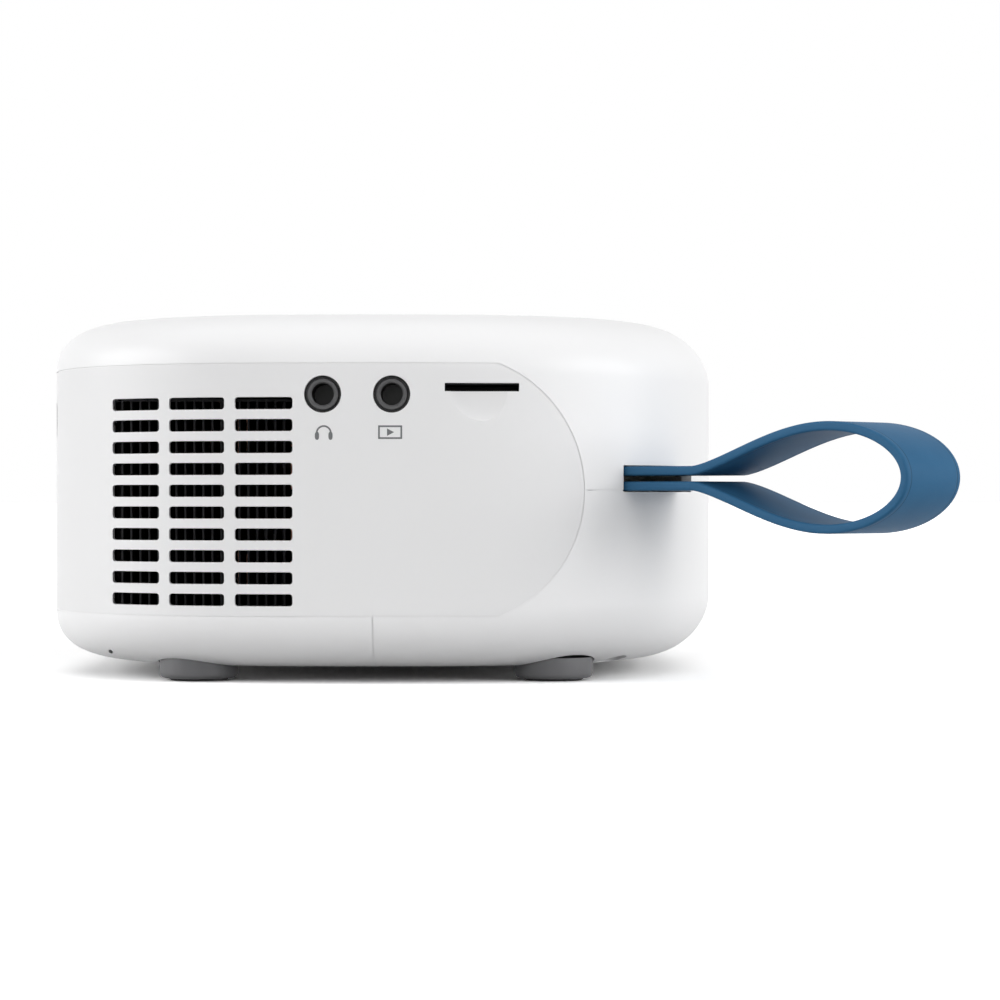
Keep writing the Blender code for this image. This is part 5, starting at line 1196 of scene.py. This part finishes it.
inlet_finish = speckled("inlet_finish", (0.020, 0.020, 0.022), 0.35, shade=0.2)
inlet_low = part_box("dc_inlet")[0]
inlet = turned(
    "inlet_body",
    "X",
    on_body(0, INLET_Y, INLET_Z),
    [
        (0, INLET_FACE - 0.0100),
        (INLET_BORE, INLET_FACE - 0.0100),
        (INLET_BORE, INLET_FACE - 0.0003),
        (INLET_BORE + 0.0003, INLET_FACE),
        (INLET_FLANGE - 0.0003, INLET_FACE),
        (INLET_FLANGE, INLET_FACE - 0.0003),
        (INLET_FLANGE, INLET_FACE - 0.0015),
        (0.0039, INLET_FACE - 0.0015),
        (0.0039, inlet_low.x - BODY.x),
        (0, inlet_low.x - BODY.x),
    ],
)
pin = turned(
    "inlet_pin",
    "X",
    on_body(0, INLET_Y, INLET_Z),
    [
        (0, INLET_FACE - 0.0101),
        (INLET_PIN, INLET_FACE - 0.0101),
        (INLET_PIN, INLET_FACE - 0.0016),
        (INLET_PIN - 0.0003, INLET_FACE - 0.0012),
        (0, INLET_FACE - 0.0012),
    ],
    32,
)
paint(inlet, inlet_finish)
smooth(inlet.data, 35)
settle(inlet, "housing", "black_plastic", "dc_inlet")


def metal(name, colour, roughness=0.30, scale=700.0, stretch=(1, 14, 1)):
    """Bare metal: fine drawn lines, a cloudy tone and an uneven gloss."""
    made, tree, shader, where = new_finish(name)
    shader.inputs["Metallic"].default_value = 1.0
    drawn = node_of(tree, "ShaderNodeMapping", Vector=where, Scale=stretch)
    lines = node_of(tree, "ShaderNodeTexNoise", Vector=drawn.outputs[0], Scale=scale, Detail=4.0)
    cloud = node_of(tree, "ShaderNodeTexNoise", Vector=where, Scale=90.0, Detail=4.0)
    dull = [channel * 0.86 for channel in colour]
    tree.links.new(tinted(tree, cloud.outputs[0], dull, colour), shader.inputs["Base Color"])
    gloss(tree, shader, lines.outputs[0], roughness - 0.08, roughness + 0.10)
    bump = node_of(tree, "ShaderNodeBump", Height=lines.outputs[0], Strength=0.3, Distance=0.000004)
    tree.links.new(bump.outputs[0], shader.inputs["Normal"])
    return made


steel = metal("plain_steel_finish", (0.56, 0.57, 0.59))
brass = metal("turned_brass_finish", (0.75, 0.55, 0.24), 0.26, 500.0, (1, 1, 10))
copper = metal("copper_finish", (0.80, 0.42, 0.28), 0.34)
settle(paint(pin, steel), "housing", "plain_steel")

insert_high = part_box("tripod_insert")[1]
thread = []
turns = int((insert_high.z - INSERT_LOW) / THREAD_PITCH) - 1
for step in range(turns):
    z = INSERT_LOW + 0.0006 + step * THREAD_PITCH
    thread += [(INSERT_BORE + THREAD_DEPTH, z), (INSERT_BORE, z + THREAD_PITCH * 0.45)]
    thread += [(INSERT_BORE, z + THREAD_PITCH * 0.55)]
insert = turned(
    "insert_nut",
    "Z",
    on_body(INSERT_X, 0),
    [
        (INSERT_RADIUS, insert_high.z),
        (INSERT_RADIUS, INSERT_LOW + 0.0003),
        (INSERT_RADIUS - 0.0003, INSERT_LOW),
        (INSERT_BORE + 0.0006, INSERT_LOW),
        *thread,
        (INSERT_BORE, insert_high.z),
    ],
    64,
    ring=True,
)
paint(insert, brass)
smooth(insert.data, 30)
settle(insert, "housing", "turned_brass", "tripod_insert")


# Hand strap
# One long blue silicone-coated band, folded over the post inside the corner, with a thin parting
# line between its layers and a wide open loop. It is drawn along its path by a node tree.
STRAIGHT = 0.0134
PEAK_REACH = 0.0402
STRAP_REACH = 0.0558
HALF_LOOP = 0.0089
STRAP_ANCHOR = 0.0095
RISE_POWER = 1.35
STRAP_ROUND = 0.00045
SIDE_STEPS = 48
GROOVE_INSET = 0.0011
GROOVE_WIDTH = 0.00022


def strap_line():
    """The middle line of the strap's upper layer, along the strap and over its own middle."""
    low = STRAP_THICK + STRAP_GAP / 2
    outer = [(-STRAP_ANCHOR - STRAP_WIDTH / 2 + 0.0002, low)]
    for step in range(SIDE_STEPS):
        t = step / SIDE_STEPS
        rise = math.sin(t * math.pi / 2) ** RISE_POWER
        outer.append((STRAIGHT + (PEAK_REACH - STRAIGHT) * t, low + (HALF_LOOP - low) * rise))
    for step in range(SIDE_STEPS + 1):
        a = math.pi / 2 * step / SIDE_STEPS
        outer.append((PEAK_REACH + (STRAP_REACH - PEAK_REACH) * math.sin(a), HALF_LOOP * math.cos(a)))
    line = []
    for i, (x, z) in enumerate(outer):
        before = outer[max(i - 1, 0)]
        after = outer[min(i + 1, len(outer) - 1)]
        along = Vector((after[0] - before[0], after[1] - before[1]))
        if i == len(outer) - 1:
            along = Vector((0, -1))
        along.normalize()
        line.append((x + along.y * STRAP_THICK / 2, z - along.x * STRAP_THICK / 2))
    return line


def path_mesh(name, points):
    mesh = bpy.data.meshes.new(name)
    mesh.from_pydata(points, [(i, i + 1) for i in range(len(points) - 1)], [])
    return mesh


def strap_finish():
    """Coated webbing: pebbled grain, a moulded line near both edges with painted shade in it, and a
    cloudy tone.
    """
    made, tree, shader, where = new_finish("strap_blue_finish")
    across = node_of(tree, "ShaderNodeVectorMath")
    across.operation = "DOT_PRODUCT"
    tree.links.new(where, across.inputs[0])
    direction = Vector((-math.sin(STRAP_TURN), math.cos(STRAP_TURN), 0))
    across.inputs[1].default_value = direction
    middle = direction.dot(BODY + Vector((*STRAP_EXIT, 0))) + STRAP_WIDTH / 2
    off = maths(tree, "ABSOLUTE", maths(tree, "SUBTRACT", across.outputs["Value"], middle))
    to_line = maths(tree, "ABSOLUTE", maths(tree, "SUBTRACT", off, STRAP_WIDTH / 2 - GROOVE_INSET))
    groove = node_of(tree, "ShaderNodeMapRange", Value=to_line)
    groove.inputs["From Max"].default_value = GROOVE_WIDTH
    grain = node_of(tree, "ShaderNodeTexVoronoi", Vector=where, Scale=2600.0)
    cloud = node_of(tree, "ShaderNodeTexNoise", Vector=where, Scale=160.0, Detail=5.0)
    height = maths(tree, "MULTIPLY_ADD", grain.outputs["Distance"], 0.18, groove.outputs[0])
    bump = node_of(tree, "ShaderNodeBump", Height=height, Strength=0.7, Distance=0.00006)
    tree.links.new(bump.outputs[0], shader.inputs["Normal"])
    blue = tinted(tree, cloud.outputs[0], (0.020, 0.096, 0.200), (0.030, 0.122, 0.240))
    # The colour darkens along the moulded line near each edge: painted shade in the groove, on top of
    # its bump.
    groove_painted_shade = tinted(tree, groove.outputs[0], (0.014, 0.062, 0.125), blue)
    tree.links.new(groove_painted_shade, shader.inputs["Base Color"])
    shader.inputs["Roughness"].default_value = 0.58
    shader.inputs["Specular IOR Level"].default_value = 0.15
    return made


def strap_tree(path, finish):
    """A flat section with soft edges drawn along the strap's path."""
    tree, size = new_tree("hand_strap", width=STRAP_WIDTH, thick=STRAP_THICK, edge=STRAP_ROUND)
    source = node_of(tree, "GeometryNodeObjectInfo", Object=path)
    curve = node_of(tree, "GeometryNodeMeshToCurve", Mesh=source.outputs["Geometry"])
    kind = "GeometryNodeCurvePrimitiveQuadrilateral"
    flat = node_of(tree, kind, Width=size["width"], Height=size["thick"])
    soft = node_of(tree, "GeometryNodeFilletCurve", Curve=flat.outputs[0], Radius=size["edge"])
    soft.mode = "POLY"
    for socket in soft.inputs:
        if socket.name == "Count":
            socket.default_value = 5
    body = node_of(
        tree,
        "GeometryNodeCurveToMesh",
        Curve=curve.outputs[0],
        Profile_Curve=soft.outputs[0],
        Fill_Caps=True,
    )
    end_tree(tree, body.outputs[0], finish)
    return tree


upper = strap_line()
turn = Matrix.Rotation(STRAP_TURN, 3, "Z")
start = Vector((*STRAP_EXIT, 0))
path = []
for x, z in upper + [(x, -z) for x, z in upper[-2::-1]]:
    level = Vector((0, 0, STRAP_HEIGHT + z))
    path.append(BODY + start + turn @ Vector((x, STRAP_WIDTH / 2, 0)) + level)
guide = object_of("strap_path", path_mesh("strap_path", path))
strap = object_of("hand_strap", grown(strap_tree(guide, strap_finish()), "hand_strap"))
bpy.data.objects.remove(guide)
smooth(strap.data, 50)
settle(strap, "strap_loop", "strap_blue", "strap")


# Inner pieces
# Board, light engine, cooling and fixings keep their solids and get their own finishes; little of
# them shows past the vents, sockets and the lens.
black = speckled("black_plastic_finish", (0.022, 0.022, 0.024), 0.5, shade=0.2)
engine_grey = speckled("engine_grey_finish", (0.06, 0.06, 0.065), 0.55, shade=0.15)
# The fins, heat pipes and card socket get a near-black metal, darker than their own metal: painted shade
# that keeps the vents dark inside.
fin_painted_shade = metal("fin_painted_shade_finish", (0.045, 0.045, 0.047), 0.60)
board_white = speckled("led_board_finish", (0.80, 0.80, 0.78), 0.4)
phosphor = speckled("led_phosphor_finish", (0.85, 0.72, 0.18), 0.25, grain=0.0001)
dark_sheet = speckled("lcd_panel_finish", (0.020, 0.012, 0.018), 0.15)
silvered = metal("mirror_silver_finish", (0.88, 0.89, 0.90), 0.10, 200.0, (1, 1, 1))

board_green, tree, shader, where = new_finish("board_green_finish")
tracks = node_of(tree, "ShaderNodeTexBrick", Vector=where, Scale=420.0)
tracks.inputs["Color1"].default_value = (0.020, 0.110, 0.050, 1)
tracks.inputs["Color2"].default_value = (0.024, 0.140, 0.062, 1)
tracks.inputs["Mortar"].default_value = (0.060, 0.210, 0.090, 1)
tree.links.new(tracks.outputs["Color"], shader.inputs["Base Color"])
cloud = node_of(tree, "ShaderNodeTexNoise", Vector=where, Scale=300.0, Detail=3.0)
gloss(tree, shader, cloud.outputs[0], 0.25, 0.45)
raised = node_of(tree, "ShaderNodeBump", Height=tracks.outputs["Fac"], Strength=0.4, Distance=0.00003)
tree.links.new(raised.outputs[0], shader.inputs["Normal"])

for finish, nodes in (
    (steel, ["hdmi_socket", "usb_socket", "dc_inlet_nut", "chassis_tray"]),
    (steel, [f"{kind}_screw_{i}" for kind in ("housing", "board") for i in range(1, 5)]),
    (board_green, ["main_board"]),
    (black, ["key_switch", "fan_frame", "fan_rotor", "speaker"]),
    (engine_grey, ["engine_housing", "engine_cover", "intake_filter"]),
    (coating, ["rear_lens", "condenser_lens", "fresnel_in", "fresnel_out"]),
    (dark_sheet, ["lcd_panel"]),
    (silvered, ["mirror"]),
    (phosphor, ["led_emitter"]),
    (board_white, ["led_board"]),
    (copper, ["led_block"]),
    (fin_painted_shade, ["fin_stack", "card_socket", "heat_pipe_left", "heat_pipe_right"]),
):
    for node in nodes:
        bpy.data.objects[node].material_slots[0].material = finish
